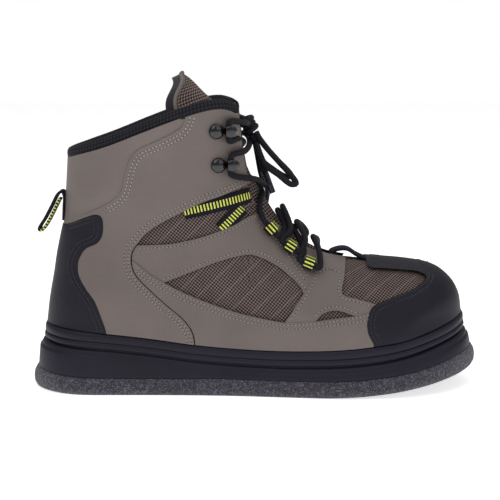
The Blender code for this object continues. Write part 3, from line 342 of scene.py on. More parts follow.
# Curves and the last
def smooth(table, at, column=1):
    """A smooth curve through one column of a table, read at a place in its first column."""
    at = min(max(at, table[0][0]), table[-1][0])
    last = len(table) - 1
    i = next(k for k in range(last) if at <= table[k + 1][0] or k == last - 1)

    def slope(k):
        low, high = max(k - 1, 0), min(k + 1, last)
        return (table[high][column] - table[low][column]) / (table[high][0] - table[low][0])

    a, b = table[i], table[i + 1]
    span = b[0] - a[0]
    t = (at - a[0]) / span
    bend = t * t * (3 - 2 * t)
    pull = t * (1 - t) ** 2 * span * slope(i) - t * t * (1 - t) * span * slope(i + 1)
    return a[column] + (b[column] - a[column]) * bend + pull


def lengths(points):
    """The length of a run of points up to each of them."""
    along = [0.0]
    for a, b in zip(points, points[1:]):
        along.append(along[-1] + (b - a).length)
    return along


def heading(path, k):
    """The direction of a path at one of its points."""
    return (path[min(k + 1, len(path) - 1)] - path[max(k - 1, 0)]).normalized()


def through(points, count):
    """A smooth run of evenly spaced points through a few points."""
    points = [Vector(p) for p in points]
    along = lengths(points)
    axes = range(len(points[0]))
    tables = [[(s, p[k]) for s, p in zip(along, points)] for k in axes]
    stops = [along[-1] * i / (count - 1) for i in range(count)]
    return [tuple(smooth(t, s) for t in tables) for s in stops]


def rounding(t):
    """Rises from 0 to 1 like the end of a superellipse."""
    t = min(max(t, 0.0), 1.0)
    return (1 - (1 - t) ** ROUND_POWER) ** (1 / ROUND_POWER)


def ease(t):
    """Rises from 0 to 1 and is level at both ends."""
    t = min(max(t, 0.0), 1.0)
    return t * t * (3 - 2 * t)


def boxed(value, power):
    """Brings a sine or a cosine nearer to 1 or -1, for a section with rounded corners."""
    return math.copysign(abs(value) ** power, value)


def circle(centre, across, up, radius, count):
    """Points on a circle round a centre, in the plane of two directions."""
    turns = [2 * math.pi * k / count for k in range(count)]
    return [centre + (across * math.cos(t) + up * math.sin(t)) * radius for t in turns]


def spaced(count):
    """Shares from 0 to 1 that crowd at both ends."""
    return [(1 - math.cos(math.pi * i / count)) / 2 for i in range(count + 1)]


PLAN_MIDDLE = 0.5 * (
    max(smooth(PLAN, k / 99, 1) + smooth(PLAN, k / 99, 2) for k in range(20, 80))
    + min(smooth(PLAN, k / 99, 1) - smooth(PLAN, k / 99, 2) for k in range(20, 80))
)


def sole_share(x):
    """The share of the sole behind a place."""
    return (x - HEEL_X) / SOLE_LENGTH


def plan_half(s):
    """Half the sole's width."""
    return smooth(PLAN, s, 2) * BALL_WIDTH


def plan_centre(s):
    """The sole's middle line."""
    return (smooth(PLAN, s, 1) - PLAN_MIDDLE) * BALL_WIDTH


def feather(s):
    """The height of the line where the upper meets the sole."""
    rise = smooth(FEATHER, s, 1) * HEEL_LIFT
    rise += smooth(FEATHER, s, 2) * TOE_SPRING + smooth(FEATHER, s, 3) * TOE_LIFT
    return SOLE_HEIGHT + rise


def bottom(s):
    """The height of the felt's face underneath, with its toe spring."""
    t = max(0.0, s - SPRING_START) / (1 - SPRING_START)
    return TOE_SPRING * t**SPRING_POWER


def felt_top(s):
    """The height of the line between the felt and the midsole."""
    rise = smooth(FELT_TOP, s, 1) * HEEL_LIFT * 0.5 + smooth(FELT_TOP, s, 3) * FELT_END_SWELL
    return FELT_THICKNESS + rise + bottom(s)


def side_x(a):
    return UPPER_HEEL_X + a * UPPER_LENGTH


def side_z(b):
    return SOLE_HEIGHT + b * UPPER_HEIGHT


def side(point):
    """A place in the side view, from its shares."""
    return side_x(point[0]), side_z(point[1])


def side_run(rows, count):
    """A smooth line in the side view through places given in shares."""
    return through([side(row) for row in rows], count)


def upper_foot(x):
    """The height of the upper's lower edge."""
    return feather(sole_share(x)) + CLEAR


def profile_points():
    """The front and the back line of the upper, with the front's depth of round."""
    tip = (*side((1.0, 0.0)), FRONT_PROFILE[0][2])
    tip = (tip[0], upper_foot(tip[0]), tip[2])
    front = [tip] + [(*side(row), row[2]) for row in FRONT_PROFILE[1:]]
    heel = (UPPER_HEEL_X, upper_foot(UPPER_HEEL_X))
    back = [heel] + [side(row) for row in BACK_PROFILE[1:]]
    return np.array(through(front, 220)), np.array(through(back, 90))


FRONT, BACK = profile_points()
FRONT_ALONG = np.concatenate([[0], np.cumsum(np.hypot(*np.diff(FRONT[:, :2], axis=0).T))])
THROAT_INDEX = int(np.argmin(abs(FRONT[:, 0] - side_x(THROAT_AT))))


def away(profile, x, z):
    """The distance from a profile in the side view, and the nearest point's index."""
    gaps = np.hypot(profile[:, 0] - x, profile[:, 1] - z)
    i = int(gaps.argmin())
    best = gaps[i]
    for j in (i - 1, i + 1):
        if 0 <= j < len(profile):
            run = profile[j, :2] - profile[i, :2]
            t = np.clip(np.dot((x, z) - profile[i, :2], run) / np.dot(run, run), 0, 1)
            best = min(best, float(np.hypot(*((x, z) - profile[i, :2] - t * run))))
    return best, i


def bare_half(x, z):
    """The upper's half width and centre line, before its front and back are rounded."""
    s = min(max((x - UPPER_HEEL_X) / UPPER_LENGTH, 0.0), 1.0)
    b = (z - SOLE_HEIGHT) / UPPER_HEIGHT
    shaft = ease((b - 0.04) / 0.36) * (1 - ease((s - 0.42) / 0.28))
    foot = plan_half(s) - FLARE_SIDE * SEAT * plan_half(s) / (BALL_WIDTH / 2)
    half = foot * (1 - shaft) + smooth(SHAFT_HALF, b) * BALL_WIDTH * shaft
    return half, plan_centre(s) * (1 - shaft)


def half_and_centre(x, z):
    """The upper's half width and centre line, with its front and back rounded."""
    half, middle = bare_half(x, z)
    front, i = away(FRONT, x, z)
    back, _ = away(BACK, x, z)
    half *= rounding(front / (FRONT[i, 2] * BALL_WIDTH))
    half *= rounding(back / (BACK_ROUND * BALL_WIDTH))
    return half, middle


def skin(x, z, hand):
    """A point of the upper's outer face. Hand is -1 on the outer side and 1 on the inner."""
    half, middle = half_and_centre(x, z)
    return Vector((x, middle + hand * half, z))


def skin_normal(x, z, hand):
    """The direction out of the upper's face."""
    step = 0.0006
    along = skin(x + step, z, hand) - skin(x - step, z, hand)
    up = skin(x, z + step, hand) - skin(x, z - step, hand)
    out = along.cross(up).normalized()
    return out if out.y * hand > 0 else -out


def over_skin(x, z, hand, lift):
    """A place over the upper's face, and the direction out."""
    out = skin_normal(x, z, hand)
    return skin(x, z, hand) + out * lift, out


def eyestay_gap(share):
    """Half the throat's width between the eyestays, by the share of the way up."""
    return THROAT_GAP_LOW + (THROAT_GAP_TOP - THROAT_GAP_LOW) * share


def throat_gap(ring):
    """Half the throat's width at a ring, nothing below the throat."""
    k = (ring - LOW_RINGS) / HIGH_RINGS
    if k <= 0:
        return 0.0
    opened = min(1.0, k * HIGH_RINGS / 2)
    return opened**0.5 * eyestay_gap(k)


def on_front(reach, columns):
    """Reads columns of the front profile at a length along it."""
    return [float(np.interp(reach, FRONT_ALONG, FRONT[:, k])) for k in columns]


def front_place(ring):
    """A ring's front end: up to the throat on the ridge, then along the throat."""
    if ring <= LOW_RINGS:
        reach = FRONT_ALONG[THROAT_INDEX] * ring / LOW_RINGS
    else:
        k = (ring - LOW_RINGS) / HIGH_RINGS
        reach = FRONT_ALONG[THROAT_INDEX] * (1 - k) + FRONT_ALONG[-1] * k
    return on_front(reach, (0, 1))


def ring_path(ring, shares):
    """A ring's places in the side view, from the back to the front or the throat."""
    v = ring / RINGS
    i = v * (len(BACK) - 1)
    heel = np.array([np.interp(i, range(len(BACK)), BACK[:, k]) for k in (0, 1)])
    toe = np.array(front_place(ring))
    _, near = away(FRONT, *toe)
    run = FRONT[min(near + 1, len(FRONT) - 1), :2] - FRONT[max(near - 1, 0), :2]
    inward = np.array((-run[1], run[0])) / np.hypot(*run)
    bend = ease(ring / LOW_RINGS) * (1 - ease((v - 0.6) / 0.4))
    dip = (toe + inward * RING_DIP * BALL_WIDTH) * bend + (heel + toe) / 2 * (1 - bend)
    low, high = (1 - v) ** 2, v**4

    def place(u):
        x, z = heel * (1 - u) ** 2 + 2 * dip * u * (1 - u) + toe * u**2
        t = (x - heel[0]) / (toe[0] - heel[0])
        sag = upper_foot(x) - upper_foot(heel[0]) * (1 - t) - upper_foot(toe[0]) * t
        rim = side_z(smooth(COLLAR_LINE, t)) - BACK[-1, 1] * (1 - t) - FRONT[-1, 1] * t
        return x, z + sag * low + rim * high

    stop = 1.0
    gap = throat_gap(ring)
    if gap > 0:
        near, far = 0.5, 1.0
        for _ in range(26):
            stop = (near + far) / 2
            half, _ = half_and_centre(*place(stop))
            near, far = (stop, far) if half > gap else (near, stop)
    return [place(t * stop) for t in shares]


def plan_ring(inset, height, count):
    """A ring around the sole. The inset is a share of the flare, and height a function of s."""
    ends = FLARE_END * inset
    width = 1 - FLARE_SIDE * inset / (BALL_WIDTH / 2)
    outer, inner = [], []
    for s in spaced(count):
        half = plan_half(s) * width * rounding(s / HEEL_ROUND) * rounding((1 - s) / TOE_ROUND)
        x = HEEL_X + ends + s * (SOLE_LENGTH - 2 * ends)
        z = height(sole_share(side_x(s)))
        outer.append(Vector((x, plan_centre(s) - half, z)))
        inner.append(Vector((x, plan_centre(s) + half, z)))
    return outer + inner[-2:0:-1]


# Modelling
def only(obj):
    """Makes one object the selected and active one."""
    bpy.ops.object.select_all(action="DESELECT")
    obj.select_set(True)
    bpy.context.view_layer.objects.active = obj


def edit(obj, *steps):
    """Runs steps in edit mode, each on the whole mesh: an operator and its settings."""
    only(obj)
    bpy.ops.object.mode_set(mode="EDIT")
    for operator, values in steps:
        bpy.ops.mesh.select_all(action="SELECT")
        operator(**values)
    bpy.ops.object.mode_set(mode="OBJECT")


def clean_edit(obj, merge=1e-6, fill=False):
    """Merges doubles, closes holes where asked, and turns the faces out."""
    steps = [(bpy.ops.mesh.remove_doubles, {"threshold": merge})]
    if fill:
        steps.append((bpy.ops.mesh.fill_holes, {"sides": 0}))
    edit(obj, *steps, (bpy.ops.mesh.normals_make_consistent, {"inside": False}))


def write_cloth(mesh, uv):
    """Writes a place for each vertex into the cloth's UV map."""
    corners = np.zeros(len(mesh.loops), dtype=np.int32)
    mesh.loops.foreach_get("vertex_index", corners)
    mesh.uv_layers["cloth"].data.foreach_set("uv", uv[corners].reshape(-1))


def cloth_grid(name, rows):
    """A grid primitive laid over rows of points, with its lengths in metres as its UV map."""
    across, along = len(rows[0]), len(rows)
    bpy.ops.object.select_all(action="DESELECT")
    bpy.ops.mesh.primitive_grid_add(
        x_subdivisions=across - 1, y_subdivisions=along - 1, size=1.0, calc_uvs=False
    )
    obj = bpy.context.object
    obj.name = name
    flat = np.array([[tuple(p) for p in row] for row in rows])
    obj.data.vertices.foreach_set("co", flat.reshape(-1))
    u = np.zeros((along, across))
    u[:, 1:] = np.cumsum(np.linalg.norm(np.diff(flat, axis=1), axis=2), axis=1)
    v = np.zeros((along, across))
    v[1:] = np.cumsum(np.linalg.norm(np.diff(flat, axis=0), axis=2), axis=0)
    v[:] = v.mean(axis=1)[:, None]
    obj.data.uv_layers.new(name="cloth")
    write_cloth(obj.data, np.stack([u, v], axis=2).reshape(-1, 2))
    obj.data.update()
    return obj


def wrapped(name, stations, close=True, second=None):
    """A closed body through stations of points: a grid rolled up, with its ends filled.

    Columns from the second one on take the second finish."""
    obj = cloth_grid(name, [list(ring) + [ring[0]] for ring in stations])
    if second is not None:
        obj.data.materials.append(None)
        obj.data.materials.append(None)
        width = len(stations[0]) + 1
        for face in obj.data.polygons:
            if min(corner % width for corner in face.vertices) >= second:
                face.material_index = 1
    sides = len(obj.data.polygons)
    clean_edit(obj, fill=close)
    if second is not None:
        for face in obj.data.polygons[sides:]:
            face.material_index = 1
    return obj


def dress(obj, materials, node_slot, *nodes, angle=35):
    """Gives a piece its finish, its body and the nodes that it stands for."""
    slots = obj.data.materials
    for index, material in enumerate(materials if isinstance(materials, list) else [materials]):
        if index < len(slots):
            slots[index] = material
        else:
            slots.append(material)
    only(obj)
    bpy.ops.object.shade_smooth_by_angle(angle=math.radians(angle))
    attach(obj, "root")
    if nodes:
        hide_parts(*nodes)
    return obj


def apply_modifier(obj, kind, **values):
    """Adds a modifier with its values and applies it."""
    only(obj)
    modifier = obj.modifiers.new("step", kind)
    for key, value in values.items():
        setattr(modifier, key, value)
    bpy.ops.object.modifier_apply(modifier=modifier.name)


def copy_of(obj, name):
    """A copy with a mesh of its own."""
    other = obj.copy()
    other.data = obj.data.copy()
    other.name = name
    bpy.context.scene.collection.objects.link(other)
    return other


def prism(outline, y_from, y_to):
    """A cutter: a filled circle primitive laid over an outline in the side view and drawn out."""
    bpy.ops.object.select_all(action="DESELECT")
    bpy.ops.mesh.primitive_circle_add(vertices=len(outline), radius=1.0, fill_type="NGON")
    cutter = bpy.context.object
    for vertex, (x, z) in zip(cutter.data.vertices, outline):
        vertex.co = (x, y_from, z)
    draw_out = {"TRANSFORM_OT_translate": {"value": (0, y_to - y_from, 0)}}
    edit(cutter, (bpy.ops.mesh.extrude_region_move, draw_out),
         (bpy.ops.mesh.normals_make_consistent, {"inside": False}))
    return cutter


def carve(obj, cutter, operation):
    """Cuts an object with a cutter, or keeps what is inside it."""
    apply_modifier(obj, "BOOLEAN", operation=operation, object=cutter, solver="MANIFOLD")
    bpy.data.objects.remove(cutter)


def beside(line, shift, closed=False):
    """A line in the side view, moved to its left by a distance."""
    last = len(line) - 1
    moved = []
    for i, (x, z) in enumerate(line):
        before = line[i - 1] if closed or i else line[0]
        after = line[(i + 1) % len(line)] if closed else line[min(i + 1, last)]
        dx, dz = after[0] - before[0], after[1] - before[1]
        size = math.hypot(dx, dz) or 1.0
        moved.append((x - dz / size * shift, z + dx / size * shift))
    return moved


def grown(outline, margin):
    """An outline moved out by a margin, or in by a negative one."""
    pairs = zip(outline, outline[1:] + outline[:1])
    area = sum(a[0] * b[1] - b[0] * a[1] for a, b in pairs)
    return beside(outline, -margin if area > 0 else margin, closed=True)


# Materials
class Finish:
    """A material and short ways to wire its nodes."""

    def __init__(self, name, colour, roughness):
        self.material = bpy.data.materials.new(name)
        self.material.use_nodes = True
        self.tree = self.material.node_tree
        self.shader = self.tree.nodes["Principled BSDF"]
        self.shader.inputs["Base Color"].default_value = (*colour, 1.0)
        self.shader.inputs["Roughness"].default_value = roughness

    def add(self, kind, **values):
        node = self.tree.nodes.new(kind)
        for key, value in values.items():
            if hasattr(node, key):
                setattr(node, key, value)
            else:
                node.inputs[key.replace("_", " ")].default_value = value
        return node

    def join(self, out, into):
        self.tree.links.new(out, into)

    def place(self, uv=False):
        coords = self.add("ShaderNodeTexCoord")
        return coords.outputs["UV" if uv else "Object"]

    def noise(self, where, scale, detail=4.0, stretch=None):
        node = self.add("ShaderNodeTexNoise")
        node.inputs["Scale"].default_value = scale
        node.inputs["Detail"].default_value = detail
        if stretch:
            mapping = self.add("ShaderNodeMapping")
            mapping.inputs["Scale"].default_value = stretch
            self.join(where, mapping.inputs["Vector"])
            where = mapping.outputs["Vector"]
        self.join(where, node.inputs["Vector"])
        return node.outputs["Fac"]

    def cells(self, where, scale):
        node = self.add("ShaderNodeTexVoronoi", feature="F1")
        node.inputs["Scale"].default_value = scale
        self.join(where, node.inputs["Vector"])
        return node.outputs["Distance"]

    def math(self, operation, a, b=None, clamp=False):
        node = self.add("ShaderNodeMath", operation=operation, use_clamp=clamp)
        for socket, value in zip(node.inputs, (a, b)):
            if value is None:
                continue
            if isinstance(value, (int, float)):
                socket.default_value = value
            else:
                self.join(value, socket)
        return node.outputs[0]

    def plus(self, a, b, clamp=False):
        return self.math("ADD", a, b, clamp)

    def minus(self, a, b):
        return self.math("SUBTRACT", a, b)

    def times(self, a, b, clamp=False):
        return self.math("MULTIPLY", a, b, clamp)

    def sine(self, a):
        return self.math("SINE", a)

    def split(self, where):
        """The parts of a vector, by the name of their axis."""
        node = self.add("ShaderNodeSeparateXYZ")
        self.join(where, node.inputs[0])
        return node.outputs

    def give(self, name, value):
        """Sets one of the shader's inputs."""
        self.shader.inputs[name].default_value = value

    def shades(self, value, colour, *stops):
        """A ramp through tints of one colour: places and shares of the colour."""
        return self.ramp(value, [(at, tint(colour, share)) for at, share in stops])

    def ramp(self, value, stops):
        node = self.add("ShaderNodeValToRGB")
        elements = node.color_ramp.elements
        while len(elements) < len(stops):
            elements.new(0.5)
        for element, (at, colour) in zip(elements, stops):
            element.position = at
            element.color = (*colour, 1.0)
        self.join(value, node.inputs["Fac"])
        return node.outputs["Color"]

    def blend(self, factor, a, b):
        node = self.add("ShaderNodeMix", data_type="RGBA")
        self.join(factor, node.inputs[0])
        for socket, value in ((node.inputs[6], a), (node.inputs[7], b)):
            if isinstance(value, tuple):
                socket.default_value = (*value, 1.0)
            else:
                self.join(value, socket)
        return node.outputs[2]

    def bump(self, height, distance, strength=1.0, under=None):
        node = self.add("ShaderNodeBump")
        node.inputs["Strength"].default_value = strength
        node.inputs["Distance"].default_value = distance
        self.join(height, node.inputs["Height"])
        if under is not None:
            self.join(under, node.inputs["Normal"])
        self.join(node.outputs["Normal"], self.shader.inputs["Normal"])
        return node.outputs["Normal"]

    def colour(self, out):
        self.join(out, self.shader.inputs["Base Color"])

    def rough(self, value, low, high):
        node = self.add("ShaderNodeMapRange")
        node.inputs["To Min"].default_value = low
        node.inputs["To Max"].default_value = high
        self.join(value, node.inputs["Value"])
        self.join(node.outputs["Result"], self.shader.inputs["Roughness"])


def tint(colour, share):
    return tuple(min(1.0, c * share) for c in colour)


def leather_finish(name, colour, roughness, grain, shine=0.42):
    """Coated leather: fine pebbles, faint pores, slow changes of shade."""
    finish = Finish(name, colour, roughness)
    where = finish.place()
    slow = finish.noise(where, 22.0, 3.0)
    finish.colour(finish.shades(slow, colour, (0.30, 0.90), (0.70, 1.08)))
    pebbles = finish.cells(where, 1300.0)
    fine = finish.noise(where, 2600.0, 3.0)
    broad = finish.noise(where, 90.0, 2.0)
    first = finish.bump(broad, 0.0006, 0.25)
    second = finish.bump(pebbles, 0.00018 * grain, 0.7, first)
    finish.bump(fine, 0.00010 * grain, 0.5, second)
    finish.rough(slow, roughness - 0.06, roughness + 0.08)
    finish.give("Specular IOR Level", shine)
    return finish.material


def moulded_finish(name, colour, roughness):
    """Moulded foam rubber, faintly mottled."""
    finish = Finish(name, colour, roughness)
    where = finish.place()
    slow = finish.noise(where, 35.0, 4.0)
    finish.colour(finish.shades(slow, colour, (0.30, 0.85), (0.72, 1.18)))
    fine = finish.noise(where, 1500.0, 4.0)
    finish.bump(fine, 0.00012, 0.45)
    finish.rough(slow, roughness - 0.05, roughness + 0.10)
    finish.give("Specular IOR Level", 0.24)
    return finish.material


def felt_finish(name, colour):
    """Pressed felt: dark fibres with pale flecks, and a rough face."""
    finish = Finish(name, colour, 0.96)
    where = finish.place()
    flecks = finish.noise(where, 1400.0, 3.0, (1.0, 1.0, 1.3))
    tufts = finish.noise(where, 420.0, 4.0)
    both = finish.plus(finish.times(flecks, 0.72), finish.times(tufts, 0.30))
    stops = ((0.40, 0.45), (0.50, 1.0), (0.565, 2.6), (0.64, 6.5))
    finish.colour(finish.shades(both, colour, *stops))
    first = finish.bump(tufts, 0.0022, 0.8)
    finish.bump(flecks, 0.0011, 1.0, first)
    finish.give("Sheen Weight", 0.25)
    return finish.material


def woven_finish(name, thread, hole, pitch, turn=0.0, hole_share=0.32, lattice=()):
    """An open mesh: crossing threads with dark holes between them, and a painted highlight on the
    threads' tops.

    A lattice adds pale lines under the mesh: the slope and the gap of each set."""
    finish = Finish(name, thread, 0.86)
    where = finish.place(True)
    mapping = finish.add("ShaderNodeMapping")
    mapping.inputs["Rotation"].default_value = (0.0, 0.0, turn)
    mapping.inputs["Scale"].default_value = (2 * math.pi / pitch,) * 3
    finish.join(where, mapping.inputs["Vector"])
    parts = finish.split(mapping.outputs["Vector"])
    wave_u = finish.sine(parts["X"])
    wave_v = finish.sine(parts["Y"])
    both = finish.times(finish.plus(wave_u, wave_v), 0.25)
    both = finish.plus(both, 0.5, clamp=True)
    twist = finish.noise(where, 1800.0, 2.0)
    height = finish.plus(both, finish.times(twist, 0.16))
    slow = finish.noise(where, 60.0, 3.0)
    threads = finish.shades(slow, thread, (0.30, 0.80), (0.70, 1.20))
    # Painted highlight: the highest parts of the threads are lightened towards 2.3 times the thread
    # colour.
    thread_top_highlight = finish.ramp(height, ((0.78, (0, 0, 0)), (0.95, (1, 1, 1))))
    threads = finish.blend(thread_top_highlight, threads, tint(thread, 2.3))
    holes = finish.ramp(height, ((hole_share + 0.08, (0, 0, 0)), (hole_share + 0.26, (1, 1, 1))))
    cloth = finish.blend(holes, hole, threads)
    for way, gap in lattice:
        axes = finish.split(where)
        run = finish.plus(axes["X"], finish.times(axes["Y"], way))
        wave = finish.sine(finish.times(run, 2 * math.pi / gap))
        line = finish.times(finish.minus(wave, 0.94), 12.0, clamp=True)
        lit = finish.times(line, finish.times(height, 0.9))
        cloth = finish.blend(lit, cloth, tint(thread, 2.6))
    finish.colour(cloth)
    finish.bump(height, 0.0005, 0.9)
    finish.give("Specular IOR Level", 0.25)
    return finish.material


def stripe_finish(name, colour, stripe, pitch, share, edge=None, along=None):
    """Webbing with bright stripes across it, read from lengths in its UV map."""
    finish = Finish(name, colour, 0.75)
    where = finish.place(True)
    parts = finish.split(where)
    wave = finish.sine(finish.times(parts["Y"], 2 * math.pi / pitch))
    fuzz = finish.noise(where, 3000.0, 2.0)
    ragged = finish.plus(wave, finish.times(finish.minus(fuzz, 0.5), 0.5))
    lit = finish.times(finish.minus(ragged, 1.0 - 2 * share), 5.0, clamp=True)
    for axis, limits in (("X", edge), ("Y", along)):
        if limits:
            over = finish.math("GREATER_THAN", parts[axis], limits[0])
            under = finish.math("LESS_THAN", parts[axis], limits[1])
            lit = finish.times(lit, finish.times(over, under))
    finish.colour(finish.blend(lit, tuple(colour), tuple(stripe)))
    rib = finish.sine(finish.times(parts["X"], 2 * math.pi / 0.0009))
    first = finish.bump(rib, 0.00020, 0.6)
    finish.bump(fuzz, 0.00025, 0.6, first)
    finish.give("Specular IOR Level", 0.2)
    return finish.material


def braid_finish(name, colour, pitch):
    """A round braid: small slanting plaits in both directions, with painted shade in the grooves
    and a painted highlight on the crowns.
    """
    finish = Finish(name, colour, 0.62)
    where = finish.place(True)
    parts = finish.split(where)
    u = finish.times(parts["X"], 2 * math.pi / pitch)
    v = finish.times(parts["Y"], 2 * math.pi / pitch)
    left = finish.sine(finish.plus(u, v))
    right = finish.sine(finish.minus(u, v))
    height = finish.math("MAXIMUM", left, right)
    share = finish.plus(finish.times(height, 0.5), 0.5)
    # Painted shade and highlight: by the plaits' height, the grooves are darkened to 0.45 of the
    # colour and the crowns lightened to 1.7.
    finish.colour(finish.shades(share, colour, (0.25, 0.45), (0.85, 1.7)))
    finish.bump(height, 0.00028, 0.8)
    finish.give("Specular IOR Level", 0.22)
    return finish.material


def plain_cloth_finish(name, colour, scale=1500.0):
    finish = Finish(name, colour, 0.9)
    where = finish.place()
    nap = finish.noise(where, scale, 4.0)
    finish.colour(finish.shades(nap, colour, (0.3, 0.7), (0.7, 1.3)))
    finish.bump(nap, 0.0003, 0.7)
    finish.give("Sheen Weight", 0.2)
    return finish.material


def gloss_finish(name, colour):
    """Black lacquered metal with faint wear in its gloss."""
    finish = Finish(name, colour, 0.16)
    where = finish.place()
    slow = finish.noise(where, 220.0, 3.0)
    finish.rough(slow, 0.08, 0.16)
    finish.colour(finish.shades(slow, colour, (0.35, 0.8), (0.75, 1.5)))
    finish.give("Specular IOR Level", 0.45)
    finish.give("Coat Weight", 0.45)
    finish.give("Coat Roughness", 0.05)
    return finish.material


FINISHES = {}


def finishes(colours):
    """All finishes, made once."""
    if FINISHES:
        return FINISHES
    tan, black = tuple(colours.tan), tuple(colours.black)
    mesh, stripe = tuple(colours.mesh), tuple(colours.stripe)
    FINISHES.update(
        tan=leather_finish("tan_leather", tan, 0.52, 1.0),
        black=leather_finish("black_synthetic", black, 0.50, 0.9, 0.22),
        sole=moulded_finish("moulded_sole", tuple(colours.sole), 0.50),
        felt=felt_finish("felt", tuple(colours.felt)),
        side_mesh=woven_finish("side_mesh", mesh, (0.012, 0.009, 0.009), 0.0018, math.radians(38),
                               lattice=((-1.05, 0.0165),)),
        tongue_mesh=woven_finish("tongue_mesh", tint(mesh, 1.25), (0.014, 0.010, 0.010), 0.0024),
        collar_mesh=woven_finish("collar_mesh", (0.0110, 0.0105, 0.0145), (0.0045, 0.0045, 0.006),
                                 0.0024, 0.0, 0.30),
        lining=plain_cloth_finish("lining", (0.010, 0.009, 0.013)),
        webbing=stripe_finish("webbing", black, tint(black, 1.6), 0.0012, 0.5),
        striped=stripe_finish("striped_webbing", tint(black, 0.8), stripe, 0.0023, 0.47,
                              (0.0029, 0.0076)),
        pull_striped=stripe_finish("pull_webbing", tint(black, 0.9), stripe, 0.0024, 0.45),
        loop_striped=stripe_finish("loop_webbing", tint(black, 0.8), stripe, 0.0026, 0.42,
                                   along=(0.0028, 0.0121)),
        gloss=gloss_finish("hook_lacquer", tint(black, 0.35)),
        lace=braid_finish("lace_braid", tuple(colours.lace), 0.0017),
        tip=gloss_finish("lace_tip", tint(black, 1.3)),
        tan_thread=plain_cloth_finish("tan_thread", tuple(colours.thread), 4000.0),
        pale_thread=plain_cloth_finish("pale_thread", tint(tuple(colours.thread), 1.35), 4000.0),
        dark_thread=plain_cloth_finish("dark_thread", tint(black, 0.9), 4000.0),
        # The needle holes: beads of a very dark leather tint, painted shade in the holes.
        hole_thread=plain_cloth_finish("needle_hole_shade", tint(tan, 0.16), 4000.0),
    )
    return FINISHES


# The upper's sheet
SHEETS = {}


def lay_cloth(obj):
    """Sets the cloth's UV map: x along the boot, and the length round the upper from the sole."""
    xs = np.linspace(side_x(-0.01), side_x(1.01), 150)
    shares = 1 - (1 - np.linspace(0, 1, 60)) ** 2.5

    def top(x):
        return float(np.interp(-x, -FRONT[:, 0], FRONT[:, 1]))

    levels = np.array([SOLE_HEIGHT + (top(x) - SOLE_HEIGHT) * shares for x in xs])
    half = np.array([[half_and_centre(x, z)[0] for z in row] for x, row in zip(xs, levels)])
    step = np.hypot(np.diff(levels, axis=1), np.diff(half, axis=1))
    round_up = np.concatenate([np.zeros((len(xs), 1)), np.cumsum(step, axis=1)], axis=1)

    def girth(x, z):
        i = (x - xs[0]) / (xs[1] - xs[0])
        low = int(min(max(i, 0), len(xs) - 2))
        t = i - low
        share = (z - SOLE_HEIGHT) / (top(x) - SOLE_HEIGHT)
        low_side, high_side = (np.interp(share, shares, round_up[k]) for k in (low, low + 1))
        return (1 - t) * low_side + t * high_side

    spots = []
    for vertex in obj.data.vertices:
        x, y, z = vertex.co
        ridge = top(x)
        around = girth(x, z)
        inner = y > half_and_centre(x, z)[1] + 0.0002
        spots.append((x, 2 * girth(x, ridge) - around if inner else around))
    write_cloth(obj.data, np.array(spots))


def crease(obj):
    """Presses soft troughs into the upper and lifts soft ridges, as wear leaves them."""
    for vertex in obj.data.vertices:
        x, y, z = vertex.co
        apart = ease((half_and_centre(x, z)[0] - RIDGE_BARE) / CREASE_FADE)
        if apart <= 0:
            continue
        spot, shift = Vector((x, z)), 0.0
        for a0, b0, a1, b1, width, depth in CREASES:
            start, end = Vector(side((a0, b0))), Vector(side((a1, b1)))
            run = end - start
            t = min(max((spot - start).dot(run) / run.length_squared, 0.0), 1.0)
            gap = (spot - start - run * t).length / (width * UPPER_HEIGHT)
            fade = math.sin(math.pi * min(max(t, 0.02), 0.98))
            shift += depth * UPPER_HEIGHT * math.exp(-gap * gap) * fade
        if shift:
            hand = -1 if y < half_and_centre(x, z)[1] else 1
            vertex.co += skin_normal(x, z, hand) * shift * apart


def skin_sheet():
    """The upper's outer face as a fine sheet, from one throat edge round the heel to the other."""
    if "skin" in SHEETS:
        return SHEETS["skin"]
    columns = 52
    shares = spaced(columns)
    stops = [LOW_RINGS * k / 34 for k in range(35)]
    stops += [LOW_RINGS + HIGH_RINGS * (k / 40) ** 1.15 for k in range(1, 41)]
    rows = []
    for ring in stops:
        path = ring_path(ring, shares)
        row = []
        for hand in (-1, 1):
            points = [skin(x, z, hand) for x, z in path]
            points[0].y = half_and_centre(*path[0])[1]
            if ring <= LOW_RINGS:
                points[-1].y = half_and_centre(*path[-1])[1]
            row += points[::-1] if hand == -1 else points[1:]
        rows.append(row)
    sheet = cloth_grid("skin", rows)
    clean_edit(sheet)
    if sum(face.normal.y * face.center.y for face in sheet.data.polygons) < 0:
        edit(sheet, (bpy.ops.mesh.flip_normals, {}))
    lay_cloth(sheet)
    crease(sheet)
    SHEETS["skin"] = sheet
    return sheet


def thickness(rank):
    """The height of a leather over the mesh, by its place in the layers."""
    sizes = bpy.context.scene.boot_sizes
    return sizes.leather + sizes.layer * (rank - 1)


def shell(name, thick):
    """A layer over the upper's face: lifted clear of it, then given its thickness outwards."""
    layer = copy_of(skin_sheet(), name)
    edit(layer, (bpy.ops.transform.shrink_fatten, {"value": CLEAR}))
    apply_modifier(layer, "SOLIDIFY", thickness=thick, offset=1.0, use_even_offset=False)
    return layer


def hand_span(hand, gap=0.0):
    """The room of one hand's panels, from the middle gap outwards."""
    return sorted((hand * gap / 2, hand * BALL_WIDTH))


def rim_line(drop):
    """The upper's rim in the side view, lowered."""
    return [(x, z - drop) for x, z in ring_path(RINGS, spaced(60))]


def quarter_outline():
    """The region of the quarter up to the collar band."""
    line = side_run(QUARTER_EDGE, 90)
    rim = rim_line(COLLAR_BAND * 0.75)
    rim = [p for p in rim if p[0] > rim[0][0]]
    outline = line + [side((-0.2, -0.06)), (side_x(-0.2), rim[0][1] - 0.004)]
    return outline + rim + [(side_x(0.60), rim[-1][1]), side((0.60, 0.66))]


